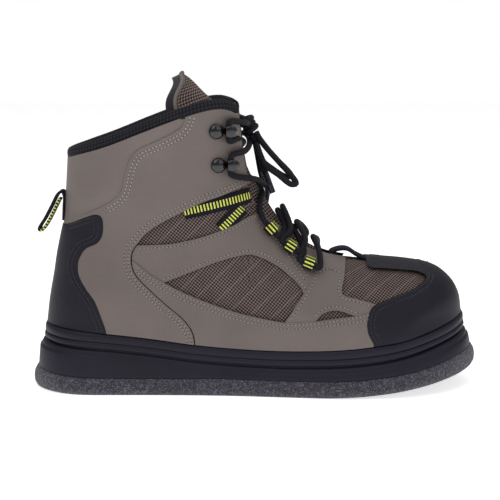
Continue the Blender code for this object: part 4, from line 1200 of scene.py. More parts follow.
def counter_outline(margin):
    """The region of the heel counter."""
    return grown(side_run(COUNTER_EDGE, 90) + [side((-0.060, -0.060))], margin)


def toe_cap_outline(margin):
    """The region of the toe cap with its strip."""
    edge = side_run(TOE_CAP_EDGE, 70)
    edge += [side((0.7702, 0.40)), side((1.08, 0.40)), side((1.08, -0.06))]
    return grown(edge, margin)


def side_outline():
    """The region of the side leather under the strap's edge."""
    start = side_z(STRAP_EDGE[0][1])
    rear = [(x + CLEAR * 3, z) for x, z in side_run(QUARTER_EDGE, 90)[::-1] if z < start]
    front = side_run(FOREFOOT_EDGE, 30)
    top = side_run(STRAP_EDGE, 40)
    return rear + top + [side((0.66, 0.50))] + front + [side((0.83, -0.06))]


def mudguard_outline():
    """The region under the mudguard's edge, in front of the quarter."""
    rear = [(x + CLEAR * 3, z) for x, z in side_run(QUARTER_EDGE, 90)[::-1]]
    rear = [p for p in rear if p[1] < side_z(0.368)]
    edge = [p for p in side_run(MUDGUARD_EDGE, 120) if p[0] > rear[-1][0] + 0.0005]
    return rear + edge + [side((0.83, -0.06))]


def ankle_outline(margin):
    """The region behind the ankle seam."""
    seam = side_run(ANKLE_SEAM, 110)
    edge = beside(seam, margin - SEAM_SHIFT)
    return edge + [side((-0.06, 0.50)), side((-0.06, 1.06)), (edge[0][0], side_z(1.06))]


def window(table, count):
    """A closed mesh window."""
    return side_run(table + table[:1], count)[:-1]


# Stitches
STITCH_ROWS = {"tan": [], "pale": [], "dark": [], "hole": []}


def sew(line, hand, lift, kind="tan"):
    """Puts stitches along a line in the side view, on one hand, with dark beads in the holes
    between them as painted shade.
    """
    sizes = bpy.context.scene.boot_sizes
    points = [Vector(p) for p in line]
    run = lengths([skin(p.x, p.y, hand) for p in points])
    count = max(2, int(run[-1] / sizes.stitch_pitch))
    for k in range(count):
        spots = []
        for part in STITCH_ENDS:
            reach = run[-1] * (k + part) / count
            x = float(np.interp(reach, run, [p.x for p in points]))
            z = float(np.interp(reach, run, [p.y for p in points]))
            spots.append(over_skin(x, z, hand, lift))
        (a, out), (b, _) = spots
        if min(half_and_centre(p.x, p.z)[0] for p in (a, b)) < THROAT_GAP_LOW:
            continue
        STITCH_ROWS[kind].append((a, b, out))
        # A dark bead sunk in the needle hole ahead of each stitch: painted shade in the hole.
        ahead = (b - a) * HOLE_LENGTH
        low = b + (b - a) * HOLE_AHEAD - out * HOLE_SINK
        STITCH_ROWS["hole"].append((low - ahead, low + ahead, out))


def stitch_mesh(name, rows, thickness):
    """All stitches of one thread: a six-sided bead each, sunk at both ends."""
    bpy.ops.object.select_all(action="DESELECT")
    bpy.ops.mesh.primitive_uv_sphere_add(segments=6, ring_count=4, radius=0.5)
    bead = bpy.context.object
    shape = np.array([v.co[:] for v in bead.data.vertices])
    faces = [tuple(p.vertices) for p in bead.data.polygons]
    bpy.data.objects.remove(bead)
    verts, all_faces = [], []
    for a, b, out in rows:
        ahead = b - a
        length = ahead.length
        ahead = ahead / length
        across = out.cross(ahead).normalized()
        up = ahead.cross(across)
        basis = np.array([ahead * length * 1.06, across * thickness, up * thickness * 0.8])
        start = len(verts)
        middle = np.array((a + b) / 2)
        verts += (shape[:, [2, 0, 1]] @ basis + middle).tolist()
        all_faces += [tuple(start + i for i in face) for face in faces]
    mesh = bpy.data.meshes.new(name)
    mesh.from_pydata(verts, [], all_faces)
    obj = bpy.data.objects.new(name, mesh)
    bpy.context.scene.collection.objects.link(obj)
    clean_edit(obj, merge=1e-9)
    return obj


# The stage: places and sizes in metres, turns in degrees, the sensor in millimetres, the lens
# as a share of it, and power in watts
CAMERA_PLACE = (-0.0034, -1.0, 0.25)
CAMERA_DIP = 8.8
SENSOR = 36.0
LENS_SHARE = 1412 / 500
WORLD_GLOW = 0.33
PAPER_GLOW = 0.66
LIGHTS = (
    ("key", (-0.5, -1.1, 1.5), (38, -12, -18), 1.3, 8.5),
    ("fill", (1.1, -0.9, 0.9), (52, 0, 48), 1.0, 2.6),
    ("top", (0.1, 0.3, 1.8), (-8, 0, 0), 2.2, 13.0),
)


# Operators
class BOOT_OT_stage(bpy.types.Operator):
    """Adds the floor, the lights and the camera."""

    bl_idname = "boot.stage"
    bl_label = "Stage"

    def execute(self, context):
        bpy.ops.object.select_all(action="DESELECT")
        bpy.ops.mesh.primitive_plane_add(size=8.0, location=(0, 0, 0))
        floor = context.object
        floor.name = "floor"
        paper = Finish("paper", (0.92, 0.92, 0.925), 0.9)
        tooth = paper.noise(paper.place(), 400.0, 2.0)
        paper.bump(tooth, 0.0001, 0.1)
        paper.give("Emission Color", (1.0, 1.0, 1.0, 1.0))
        paper.give("Emission Strength", PAPER_GLOW)
        floor.data.materials.append(paper.material)
        world = bpy.data.worlds.new("studio")
        world.use_nodes = True
        nodes, links = world.node_tree.nodes, world.node_tree.links
        glow = nodes["Background"]
        glow.inputs["Strength"].default_value = WORLD_GLOW
        backdrop = nodes.new("ShaderNodeBackground")
        backdrop.inputs["Color"].default_value = (1, 1, 1, 1)
        glow.inputs["Color"].default_value = (1, 1, 1, 1)
        seen, mix = nodes.new("ShaderNodeLightPath"), nodes.new("ShaderNodeMixShader")
        links.new(seen.outputs["Is Camera Ray"], mix.inputs[0])
        links.new(glow.outputs[0], mix.inputs[1])
        links.new(backdrop.outputs[0], mix.inputs[2])
        links.new(mix.outputs[0], nodes["World Output"].inputs["Surface"])
        context.scene.world = world
        context.scene.view_settings.view_transform = "Standard"
        for name, place, turn, size, power in LIGHTS:
            bpy.ops.object.light_add(type="AREA", location=place)
            light = context.object
            light.name = name
            light.rotation_euler = [math.radians(v) for v in turn]
            light.data.size = size
            light.data.energy = power
        bpy.ops.object.camera_add(location=CAMERA_PLACE,
                                  rotation=(math.radians(90 - CAMERA_DIP), 0, 0))
        camera = context.object
        camera.data.sensor_width = SENSOR
        camera.data.lens = LENS_SHARE * SENSOR
        context.scene.camera = camera
        return {"FINISHED"}


class BOOT_OT_sole(bpy.types.Operator):
    """Models the felt outsole, the moulded midsole and the insole."""

    bl_idname = "boot.sole"
    bl_label = "Sole"

    def body(self, name, rings):
        """A body through rings, shut at both ends by a ring pressed onto its middle line."""
        pressed = []
        for ring in (rings[0], rings[-1]):
            pressed.append([Vector((p.x, (p.y + ring[-k].y) / 2, p.z)) for k, p in enumerate(ring)])
        return wrapped(name, [pressed[0], *rings, pressed[1]], close=False)

    def execute(self, context):
        kinds = finishes(context.scene.boot_colours)

        rings = []
        for inset, share in FELT_LEVELS:
            rings.append(plan_ring(
                inset, lambda s: bottom(s) + share * (felt_top(s) - bottom(s)), SOLE_STEPS
            ))
        felt = self.body("felt_sole", rings)
        dress(felt, kinds["felt"], "felt", "felt_outsole", angle=60)
        rings = []
        for inset, rise in BASE_LEVELS:
            rings.append(plan_ring(inset, lambda s: felt_top(s) + CLEAR + rise, SOLE_STEPS))
        for inset, drop in BAND_LEVELS + GROOVE_LEVELS + FLANGE_LEVELS:
            rings.append(plan_ring(inset, lambda s: feather(s) - drop, SOLE_STEPS))
        midsole = self.body("moulded_midsole", rings)
        dress(midsole, kinds["sole"], "moulded_sole", "midsole", angle=50)

        def inner_ring(lift, gap):
            margin = UPPER_WALL + gap
            sides = {-1: [], 1: []}
            for s in spaced(44)[3:-3]:
                x = side_x(s)
                z = feather(sole_share(x)) + lift
                for hand, points in sides.items():
                    out = skin_normal(x, z, hand).xy.normalized()
                    edge = skin(x, z, hand).xy - out * margin
                    points.append(Vector((edge.x, edge.y, feather(sole_share(edge.x)) + lift)))
            tips = []
            for x in (side_x(0) + margin, side_x(1) - margin):
                s = sole_share(x)
                tips.append(Vector((x, plan_centre(s), feather(s) + lift)))
            return [tips[0]] + sides[-1] + [tips[1]] + sides[1][::-1]

        top = INSOLE_THICKNESS + CLEAR
        rings = [inner_ring(CLEAR, 0.0018), inner_ring(top * 0.8, 0.0018), inner_ring(top, 0.0030)]
        footbed = self.body("footbed", rings)
        dress(footbed, kinds["lining"], "lining", "insole")
        return {"FINISHED"}


class BOOT_OT_upper(bpy.types.Operator):
    """Models the mesh upper with its lining."""

    bl_idname = "boot.upper"
    bl_label = "Upper"

    def execute(self, context):
        kinds = finishes(context.scene.boot_colours)
        upper = copy_of(skin_sheet(), "mesh_upper")
        upper.data.materials.append(kinds["side_mesh"])
        upper.data.materials.append(kinds["lining"])
        apply_modifier(upper, "SOLIDIFY", thickness=UPPER_WALL, offset=-1.0,
                       material_offset=1, material_offset_rim=0)
        dress(upper, [kinds["side_mesh"], kinds["lining"]], "mesh", "upper", angle=50)
        return {"FINISHED"}


class BOOT_OT_leathers(bpy.types.Operator):
    """Cuts the quarters and the side leathers from layers over the upper."""

    bl_idname = "boot.leathers"
    bl_label = "Leathers"

    def execute(self, context):
        kinds = finishes(context.scene.boot_colours)
        # The outlines cut out of the side leathers, the lowest leather's first
        holes = (window(BIG_WINDOW, 130), window(SMALL_WINDOW, 60), toe_cap_outline(CLEAR))
        wide = (-BALL_WIDTH, BALL_WIDTH)
        for word, hand in HANDS:
            near = hand_span(hand, CLEAR)
            front = shell(f"quarter_leather_{word}", thickness(4))
            carve(front, prism(quarter_outline(), *near), "INTERSECT")
            carve(front, prism(counter_outline(CLEAR), *wide), "DIFFERENCE")
            ankle = copy_of(front, f"ankle_leather_{word}")
            carve(front, prism(ankle_outline(-CLEAR), *wide), "DIFFERENCE")
            carve(ankle, prism(ankle_outline(CLEAR), *wide), "INTERSECT")
            self.pad(ankle, hand)
            for panel in (front, ankle):
                dress(panel, kinds["tan"], "tan_leather", f"quarter_{word}")
            near = hand_span(hand, CAP_STRIP_WIDTH / 2)
            for name, rank, outline, cuts in (
                ("strap", 1, side_outline(), holes),
                ("forefoot", 2, self.forefoot(), holes[1:]),
                ("mudguard", 3, mudguard_outline(), holes[2:]),
            ):
                panel = shell(f"{name}_leather_{word}", thickness(rank))
                carve(panel, prism(outline, *near), "INTERSECT")
                for cut in cuts:
                    carve(panel, prism(cut, *wide), "DIFFERENCE")
                dress(panel, kinds["tan"], "tan_leather", f"side_leather_{word}")
        return {"FINISHED"}

    def forefoot(self):
        """The region of the strap between the two forefoot lines."""
        rear = side_run(FOREFOOT_REAR, 60)
        front = side_run(FOREFOOT_EDGE, 80)
        return rear + front + [side((0.83, 0.07))]

    def pad(self, ankle, hand):
        """Puffs the padded ankle behind its seam, and sinks its edge under the quarter."""
        seam = np.array(beside(side_run(ANKLE_SEAM, 200), -SEAM_SHIFT))
        for vertex in ankle.data.vertices:
            x, y, z = vertex.co
            over = abs(y - half_and_centre(x, z)[1]) - half_and_centre(x, z)[0]
            if over < CLEAR * 3:
                continue
            reach = float(np.hypot(seam[:, 0] - x, seam[:, 1] - z).min())
            puff = ease(reach / ANKLE_EDGE) * ANKLE_PUFF - ANKLE_SINK
            fade = ease((half_and_centre(x, z)[0] - RIDGE_BARE) / PUFF_FADE)
            vertex.co += skin_normal(x, z, hand) * puff * fade


class BOOT_OT_caps(bpy.types.Operator):
    """Cuts the toe cap with its strip, and the heel counter."""

    bl_idname = "boot.caps"
    bl_label = "Toe cap and counter"

    def execute(self, context):
        kinds = finishes(context.scene.boot_colours)
        for name, rank, outline in (
            ("toe_cap", 4, toe_cap_outline(0.0)),
            ("heel_counter", 5, counter_outline(0.0)),
        ):
            cap = shell(f"{name}_skin", thickness(rank))
            carve(cap, prism(outline, -BALL_WIDTH, BALL_WIDTH), "INTERSECT")
            dress(cap, kinds["black"], "black_synthetic", name)
        return {"FINISHED"}


class BOOT_OT_collar(bpy.types.Operator):
    """Models the padded collar that wraps the upper's rim."""

    bl_idname = "boot.collar"
    bl_label = "Collar"

    def execute(self, context):
        kinds = finishes(context.scene.boot_colours)
        wall, band, thick = UPPER_WALL, COLLAR_BAND, COLLAR_THICKNESS
        section = (
            (CLEAR * 2, -band + CLEAR * 2),
            (CLEAR + thick * 0.55, -band + CLEAR),
            (CLEAR + thick * 1.0, -band * 0.85),
            (CLEAR + thick * 1.25, -band * 0.5),
            (CLEAR + thick * 1.2, -band * 0.15),
            (CLEAR + thick * 0.85, thick * 0.35),
            (thick * 0.2, thick * 0.85),
            (-wall * 0.6, thick * 1.05),
            (-wall - thick * 0.5, thick * 0.95),
            (-wall - thick * 1.3, thick * 0.4),
            (-wall - thick * 1.8, -band * 0.3),
            (-wall - thick * 1.9, -band * 0.8),
            (-wall - thick * 1.3, -band * 1.2),
            (-wall - CLEAR * 6, -band * 1.3),
            (-wall - CLEAR * 4, CLEAR * 4),
            (CLEAR * 2, CLEAR * 4),
        )
        columns = 80
        shares = spaced(columns)
        path, below = ring_path(RINGS, shares), ring_path(RINGS - 0.5, shares)
        order = [(-1, c) for c in range(columns, -1, -1)] + [(1, c) for c in range(1, columns + 1)]
        stations = []
        for hand, c in order:
            x, z = path[c]
            point, lower = skin(x, z, hand), skin(*below[c], hand)
            if c == 0:
                point.y = lower.y = half_and_centre(x, z)[1]
                out = Vector((-1, 0, 0))
            else:
                out = skin_normal(x, z - 0.002, hand)
            up = (point - lower).normalized()
            out = (out - up * out.dot(up)).normalized()
            stations.append([point, out, up])
        for _ in range(4):
            for k in range(1, len(stations) - 1):
                mean = stations[k - 1][1] + stations[k][1] + stations[k + 1][1]
                stations[k][1] = mean.normalized()
        rings = [[p + out * a + up * b for a, b in section] for p, out, up in stations]
        collar = wrapped("collar_padding", rings)
        dress(collar, kinds["collar_mesh"], "collar_mesh", "collar_band", angle=60)
        return {"FINISHED"}


class BOOT_OT_tongue(bpy.types.Operator):
    """Models the padded tongue with its edge binding."""

    bl_idname = "boot.tongue"
    bl_label = "Tongue"

    def execute(self, context):
        kinds = finishes(context.scene.boot_colours)
        rows, across = 90, 36
        path = [Vector(p) for p in side_run(TONGUE_PATH, rows)]
        stations, edges = [], {-1: [], 1: []}
        for k, place in enumerate(path):
            up = k / (rows - 1)
            run = heading(path, k)
            inward = Vector((-run.y, run.x))
            wide, middle = bare_half(*place)
            _, near = away(FRONT, *place)
            deep = FRONT[near, 2] * BALL_WIDTH
            half = smooth(TONGUE_HALF, up) * BALL_WIDTH
            half *= math.sqrt(max(0.02, 1 - (max(up - 0.84, 0.0) / 0.163) ** 2))
            thick = TONGUE_THICKNESS * (0.45 + 0.55 * ease(up * 3))
            sweep = TONGUE_SWEEP * ease((up - 0.66) / 0.2)
            roll = TONGUE_ROLL * ease((up - 0.70) / 0.16)
            swell = TONGUE_SWELL * ease((up - 0.05) / 0.12) * (1 - ease((up - 0.44) / 0.22))
            gap = eyestay_gap(up)
            front, rear = [], []
            for i in range(across + 1):
                t = 2 * i / across - 1
                y = half * math.sin(t * math.pi / 2)
                depth = deep * (1 - rounding(1 - abs(y / wide)))
                depth = depth * 1.15 - swell * (1 - ease(abs(y) / gap))
                slim = thick * (1 - (0.75 - 0.5 * ease((up - 0.7) / 0.2)) * abs(t) ** 5)
                spot = place + inward * (depth + thick * 0.25 * abs(t) ** 6)
                spot.x -= sweep * (y / TONGUE_TOP_HALF) ** 2
                front.append(Vector((spot.x, middle + y, spot.y)))
                spot = place + inward * (depth + slim)
                spot.x -= sweep * (y / TONGUE_TOP_HALF) ** 2 + roll * abs(t)
                rear.append(Vector((spot.x, middle + y, spot.y)))
            stations.append(front + rear[::-1])
            edges[-1].append(front[0])
            edges[1].append(front[-1])
        tongue = wrapped("tongue_padding", stations, second=across)
        dress(tongue, [kinds["tongue_mesh"], kinds["lining"]], "mesh", "tongue", angle=60)
        start = int(rows * 0.55)
        rim = edges[-1][start:] + stations[-1][2:across - 1:4] + edges[1][:start - 1:-1]
        binding, _ = lace_tube("tongue_binding", rim, 150, BINDING_THICKNESS, 12)
        dress(binding, kinds["tan"], "tan_leather", "tongue", angle=60)
        return {"FINISHED"}


class BOOT_OT_webbing(bpy.types.Operator):
    """Models the striped straps, the lace loops, the keeper and the pull loop."""

    bl_idname = "boot.webbing"
    bl_label = "Webbing"

    def strap(self, name, ends, hand):
        """A flat strap laid over the upper between two places, thinner at its long edges."""
        a, b = Vector(side(ends[0])), Vector(side(ends[1]))
        across = Vector((a.y - b.y, b.x - a.x)).normalized()
        stations = []
        for k in range(41):
            centre = a.lerp(b, k / 40)
            low = centre - across * STRIPE_STRAP / 2
            high = centre + across * STRIPE_STRAP / 2
            edge = [over_skin(*low.lerp(high, t), hand, 0.0) for t in (0, 0.08, 0.5, 0.92, 1)]
            rises = [STRAP_THICKNESS * share for share in (0.6, 1, 1, 1, 0.6)]
            top = [p + n * (CLEAR + rise) for (p, n), rise in zip(edge, rises)]
            under = [p + n * CLEAR for p, n in edge]
            stations.append(top + under[::-1])
        return wrapped(name, stations)

    def execute(self, context):
        kinds = finishes(context.scene.boot_colours)
        for word, hand in HANDS:
            for k, ends in enumerate(STRIPE_STRAPS):
                strap = self.strap(f"webbing_strap_{word}_{k + 1}", ends, hand)
                dress(strap, kinds["striped"], "striped_webbing", f"striped_strap_{word}_{k + 1}")
            for k, place in enumerate(LOOPS):
                loop = lace_loop(f"webbing_loop_{word}_{k + 1}", place, hand)
                dress(loop, kinds["loop_striped"], "striped_webbing", f"lace_loop_{word}_{k + 1}")
        keeper = flat_webbing("keeper_webbing", side_run(KEEPER_PATH, 110), KEEPER_THICKNESS,
                              KEEPER_WIDTH, plan_centre(0.77))
        dress(keeper, kinds["webbing"], "black_webbing", "lace_keeper")
        path = side_run(PULL_PATH, 120)
        pull = flat_webbing("pull_webbing", path, PULL_THICKNESS, PULL_WIDTH, 0.0)
        dress(pull, [kinds["webbing"], kinds["pull_striped"]], "black_webbing", "pull_loop")
        run = np.array(path)
        fold = int(np.hypot(*(run - side(PULL_PATH[8])).T).argmin())
        for face in pull.data.polygons:
            gaps = np.hypot(run[:, 0] - face.center.x, run[:, 1] - face.center.z)
            if gaps.argmin() > fold:
                face.material_index = 1
        return {"FINISHED"}


def flat_webbing(name, path, thickness, width, middle):
    """A strip of webbing bent in the side view, with rounded edges."""
    path = [Vector(p) for p in path]
    half = width / 2
    section = ((-1, -0.85), (-1, 0.85), (-0.55, 1.0), (0.55, 1.0), (1, 0.85), (1, -0.85),
               (0.55, -1.0), (-0.55, -1.0))
    stations = []
    for k, p in enumerate(path):
        run = heading(path, k)
        normal = Vector((-run.y, run.x)) * thickness / 2
        ring = []
        for way, y in section:
            spot = p + normal * way
            ring.append(Vector((spot.x, middle + y * half, spot.y)))
        stations.append(ring)
    return wrapped(name, stations)


def frame_at(place, hand, lift):
    """A place over the upper, and the directions forward, up and out there."""
    x, z = side(place)
    point, out = over_skin(x, z, hand, lift)
    forward = Vector((1, 0, 0))
    forward = (forward - out * forward.dot(out)).normalized()
    up = out.cross(forward)
    if up.z < 0:
        up = -up
    return point, forward, up, out


def loop_frame(place, hand):
    """A lace loop's middle, its directions along the lace, across and out, and its height."""
    lace = bpy.context.scene.boot_sizes.lace
    point, _, _, out = frame_at(place, hand, CLEAR * 3 + FITTING_LIFT)
    _, i = away(FRONT, *side(place))
    run = FRONT[i + 1, :2] - FRONT[i - 1, :2]
    along = Vector((run[0], 0, run[1]))
    along = (along - out * along.dot(out)).normalized()
    across = out.cross(along)
    if across.y * hand > 0:
        across = -across
    tall = lace / 2 + CLEAR * 2 + LOOP_STRAP
    return point + out * tall, along, across, out, tall


def lace_loop(name, place, hand):
    """A webbing ring at the eyestay, open along the throat for the lace."""
    middle, along, across, out, tall = loop_frame(place, hand)
    wide = LOOP_HEIGHT / 2
    sides = 40
    half = LOOP_WIDTH / 2

    def at(w, t, shift, k):
        """A point of the ring: half its width and its height there, the shift and the turn."""
        turn = 2 * math.pi * k / sides
        c, d = boxed(math.cos(turn), 0.7), boxed(math.sin(turn), 0.7)
        return middle + across * w * c + out * t * d + along * shift

    section = ((0, -0.92), (0, 0.92), (0.4, 1), (1, 0.92), (1, -0.92), (0.4, -1))
    stations = []
    for k in range(sides + 1):
        stations.append([
            at(wide - LOOP_STRAP * deep, tall - LOOP_STRAP * deep, half * shift, k)
            for deep, shift in section
        ])
    return wrapped(name, stations, close=False)


class BOOT_OT_hooks(bpy.types.Operator):
    """Models the lace hooks with their domed rivets."""

    bl_idname = "boot.hooks"
    bl_label = "Hooks"

    def execute(self, context):
        kinds = finishes(context.scene.boot_colours)
        lace = context.scene.boot_sizes.lace
        for word, hand in HANDS:
            for k, spot in enumerate(HOOKS):
                place, forward, up, out = frame_at(spot, hand, CLEAR * 2 + FITTING_LIFT)
                seat = HOOK_THICKNESS / 2
                path = through(
                    (
                        (-RIVET_RADIUS * 0.6, seat),
                        (RIVET_RADIUS, seat),
                        (HOOK_REACH * 0.80, seat * 1.3),
                        (HOOK_REACH * 1.12, lace * 0.70),
                        (HOOK_REACH * 1.12, lace * 1.45),
                        (HOOK_REACH * 0.82, lace * 1.85),
                        (HOOK_REACH * 0.44, lace * 1.58),
                    ),
                    30,
                )
                path = [Vector(p) for p in path]
                rings = []
                for i, p in enumerate(path):
                    run = heading(path, i)
                    normal = Vector((-run.y, run.x)) * HOOK_THICKNESS / 2
                    ring = []
                    for turn in range(16):
                        c = boxed(math.cos(2 * math.pi * turn / 16), 0.6)
                        d = boxed(math.sin(2 * math.pi * turn / 16), 0.6)
                        flat = p + normal * c
                        off = (flat.x - HOOK_REACH * HOOK_MIDDLE) / (HOOK_REACH * HOOK_LOBE)
                        lobe = LOBE_WIDTH * math.sqrt(max(0.10, 1 - off * off))
                        lobe = lobe if i > 12 else 0.55 + (lobe - 0.55) * ease((i - 5) / 7)
                        wide = up * d * HOOK_WIDTH / 2 * lobe
                        ring.append(place + forward * flat.x + out * flat.y + wide)
                    rings.append(ring)
                hook = wrapped(f"hook_{word}_{k + 1}", rings)
                dress(hook, kinds["gloss"], "hook", f"lace_hook_{word}_{k + 1}", angle=60)
                stations = [circle(place + out * h, forward, up, r, 32) for r, h in self.dome()]
                rivet = wrapped(f"rivet_{word}_{k + 1}", stations)
                dress(rivet, kinds["gloss"], "hook", f"lace_hook_{word}_{k + 1}", angle=60)
        return {"FINISHED"}

    def dome(self):
        """The radii and the heights of the rivet's domed head."""
        radius = RIVET_RADIUS * DOME_SHARE
        rows = [(radius, CLEAR), (radius * 1.02, radius * 0.3)]
        for k in range(10):
            t = k / 10 * math.pi / 2
            rows.append((radius * math.cos(t), radius * 0.45 + radius * 0.5 * math.sin(t)))
        return rows


def over_throat(share, y, lift):
    """A place over the throat: share of the front profile's length, offset across and lift."""
    x, z, deep = on_front(share * FRONT_ALONG[-1], (0, 1, 2))
    _, i = away(FRONT, x, z)
    i = min(max(i, 1), len(FRONT) - 2)
    run = Vector(FRONT[i + 1, :2] - FRONT[i - 1, :2]).normalized()
    wide, middle = bare_half(x, z)
    fall = deep * BALL_WIDTH * (1 - rounding(1 - abs(y / wide)))
    return Vector((x + run.y * (lift - fall), middle + y, z - run.x * (lift - fall)))


def profile_share(place):
    """The share of the front profile's length at a place in the side view."""
    _, i = away(FRONT, *side(place))
    return FRONT_ALONG[i] / FRONT_ALONG[-1]


def lace_tube(name, points, count, thick, sides):
    """A round lace through route points, with its girth and length in its UV map."""
    run = [Vector(p) for p in through(points, count)]
    stations = []
    across = Vector((0.1, 0.3, 1)).normalized()
    for k, place in enumerate(run):
        ahead = heading(run, k)
        across = (across - ahead * across.dot(ahead)).normalized()
        stations.append(circle(place, across, ahead.cross(across), thick / 2, sides))
    return wrapped(name, stations), run


def lace_seat(row, hand):
    """The middle of the lace in a hook or a loop, its way up the throat, and half its hold."""
    lace = bpy.context.scene.boot_sizes.lace
    if row < len(HOOKS):
        place, forward, along, out = frame_at(HOOKS[row], hand, CLEAR * 2 + FITTING_LIFT)
        middle = place + forward * HOOK_REACH * HOOK_MIDDLE + out * lace * 0.98
        half = HOOK_WIDTH * 0.45
    else:
        middle, along, _, _, _ = loop_frame(LOOPS[row - len(HOOKS)], hand)
        half = LOOP_WIDTH / 2
    return middle, along, half


KNOT = ((-0.0070, 0.0, 0.1900), (-0.0010, 0.0, 0.1790))
CORDS = (
    (
        "bow_outer",
        "bow_loop_outer",
        (
            (0.0009, -0.0019, 0.1796), (0.0034, -0.0024, 0.1750), (0.0090, -0.0048, 0.1680),
            (0.0163, -0.0080, 0.1600), (0.0260, -0.0115, 0.1495), (0.0290, -0.0130, 0.1445),
            (0.0250, -0.0150, 0.1443), (0.0170, -0.0150, 0.1505), (0.0071, -0.0110, 0.1580),
            (0.0010, -0.0063, 0.1720),
        ),
    ),
    (
        "bow_inner",
        "bow_loop_inner",
        (
            (0.0009, 0.0019, 0.1796), (0.0033, 0.0030, 0.1750), (0.0140, 0.0130, 0.1610),
            (0.0240, 0.0180, 0.1505), (0.0265, 0.0200, 0.1465), (0.0220, 0.0220, 0.1460),
            (0.0140, 0.0190, 0.1510), (0.0050, 0.0130, 0.1590), (0.0005, 0.0075, 0.1710),
        ),
    ),
    (
        "free_end_outer",
        "lace_end_outer",
        (
            (-0.0025, -0.0019, 0.1778), (0.0004, -0.0019, 0.1725), (0.0035, -0.0010, 0.1630),
            (0.0064, -0.0018, 0.1540), (0.0128, -0.0040, 0.1367),
        ),
    ),
    (
        "free_end_inner",
        "lace_end_inner",
        (
            (-0.0025, 0.0019, 0.1778), (0.0002, 0.0026, 0.1720), (0.0020, 0.0060, 0.1630),
            (0.0050, 0.0095, 0.1480), (0.0098, 0.0104, 0.1380),
        ),
    ),
)


class BOOT_OT_lace(bpy.types.Operator):
    """Runs the lace through loops and hooks to the knot, with its bow and ends."""

    bl_idname = "boot.lace"
    bl_label = "Lace"

    def threaded(self, first_hand):
        """The route of one half of the lace, from the bar up to the knot."""
        lace = bpy.context.scene.boot_sizes.lace
        rows = len(HOOKS) + len(LOOPS)
        bar = profile_share(LOOPS[-1]) - 0.018
        lifts = (-0.0010, CROSS_HUMP, ARCH_LIFT, ARCH_LIFT)
        route = [over_throat(bar + 0.032, 0.0, ARCH_LIFT)]
        hand = first_hand
        low, along, half = lace_seat(rows - 1, hand)
        route += [over_throat(bar + 0.006, low.y * 0.62, BAR_LIFT), low - along * (half + lace)]
        for row in range(rows - 1, 0, -1):
            middle, along, half = lace_seat(row, hand)
            route += [middle, middle + along * (half + lace * 0.9)]
            above, up, far = lace_seat(row - 1, -hand)
            high, below = (profile_share((HOOKS + LOOPS)[k]) for k in (row - 1, row))
            hump = ARCH_HUMP if row > 2 else CROSS_HUMP
            for share, y in ARCH if row > 2 else CROSSING:
                reach = high + (below - high) * share
                lift = lifts[row - 1] if y == 0.0 else hump
                side_shift = lace * 0.52 * first_hand
                route.append(over_throat(reach, hand * abs(middle.y) * y, lift + side_shift))
            hand = -hand
            route.append(above - up * (far + lace * 0.9))
        middle, along, half = lace_seat(0, hand)
        knot = Vector(KNOT[0]).lerp(Vector(KNOT[1]), 0.35)
        end = knot + Vector((0, hand * 0.0050, 0))
        near = middle + along * (half + lace * 0.9)
        route += [middle, near, near.lerp(end, 0.5) + Vector((lace, 0, 0)), end]
        return route

    def execute(self, context):
        kinds = finishes(context.scene.boot_colours)
        lace = context.scene.boot_sizes.lace
        nodes = {
            -1: ("lace_bar", "lace_cross_1", "lace_cross_3", "lace_top_outer"),
            1: ("lace_cross_2", "lace_cross_4", "lace_top_inner"),
        }
        for word, hand in HANDS:
            strand, _ = lace_tube(f"threaded_lace_{word}", self.threaded(hand), 330, lace, 14)
            dress(strand, kinds["lace"], "lace", *nodes[hand], angle=70)
        knot = self.knot(context)
        dress(knot, kinds["lace"], "lace", "lace_knot", angle=70)
        for name, node, route in CORDS:
            loop = "bow" in name
            count = 90 if loop else 46
            cord, run = lace_tube(name, route, count, lace, 16)
            dress(cord, kinds["lace"], "lace", node, angle=70)
            if not loop:
                tip, _ = lace_tube(f"{name}_tip", run[-16:], 16, lace * 1.04, 16)
                dress(tip, kinds["tip"], "lace", node, angle=70)
        return {"FINISHED"}

    def knot(self, context):
        """Three wraps of lace round the bow's middle."""
        lace = context.scene.boot_sizes.lace
        top, low = Vector(KNOT[0]), Vector(KNOT[1])
        axis = (low - top).normalized()
        across = Vector((0, 1, 0))
        other = axis.cross(across)
        points = []
        for k in range(49):
            t = k / 48
            turn = t * 3 * 2 * math.pi
            radius = KNOT_RADIUS + 0.0004 * math.sin(turn * 0.5)
            centre = top.lerp(low, 0.12 + 0.78 * t)
            points.append(centre + (across * math.cos(turn) + other * math.sin(turn)) * radius)
        knot, _ = lace_tube("knot_wraps", points, 150, lace, 14)
        return knot


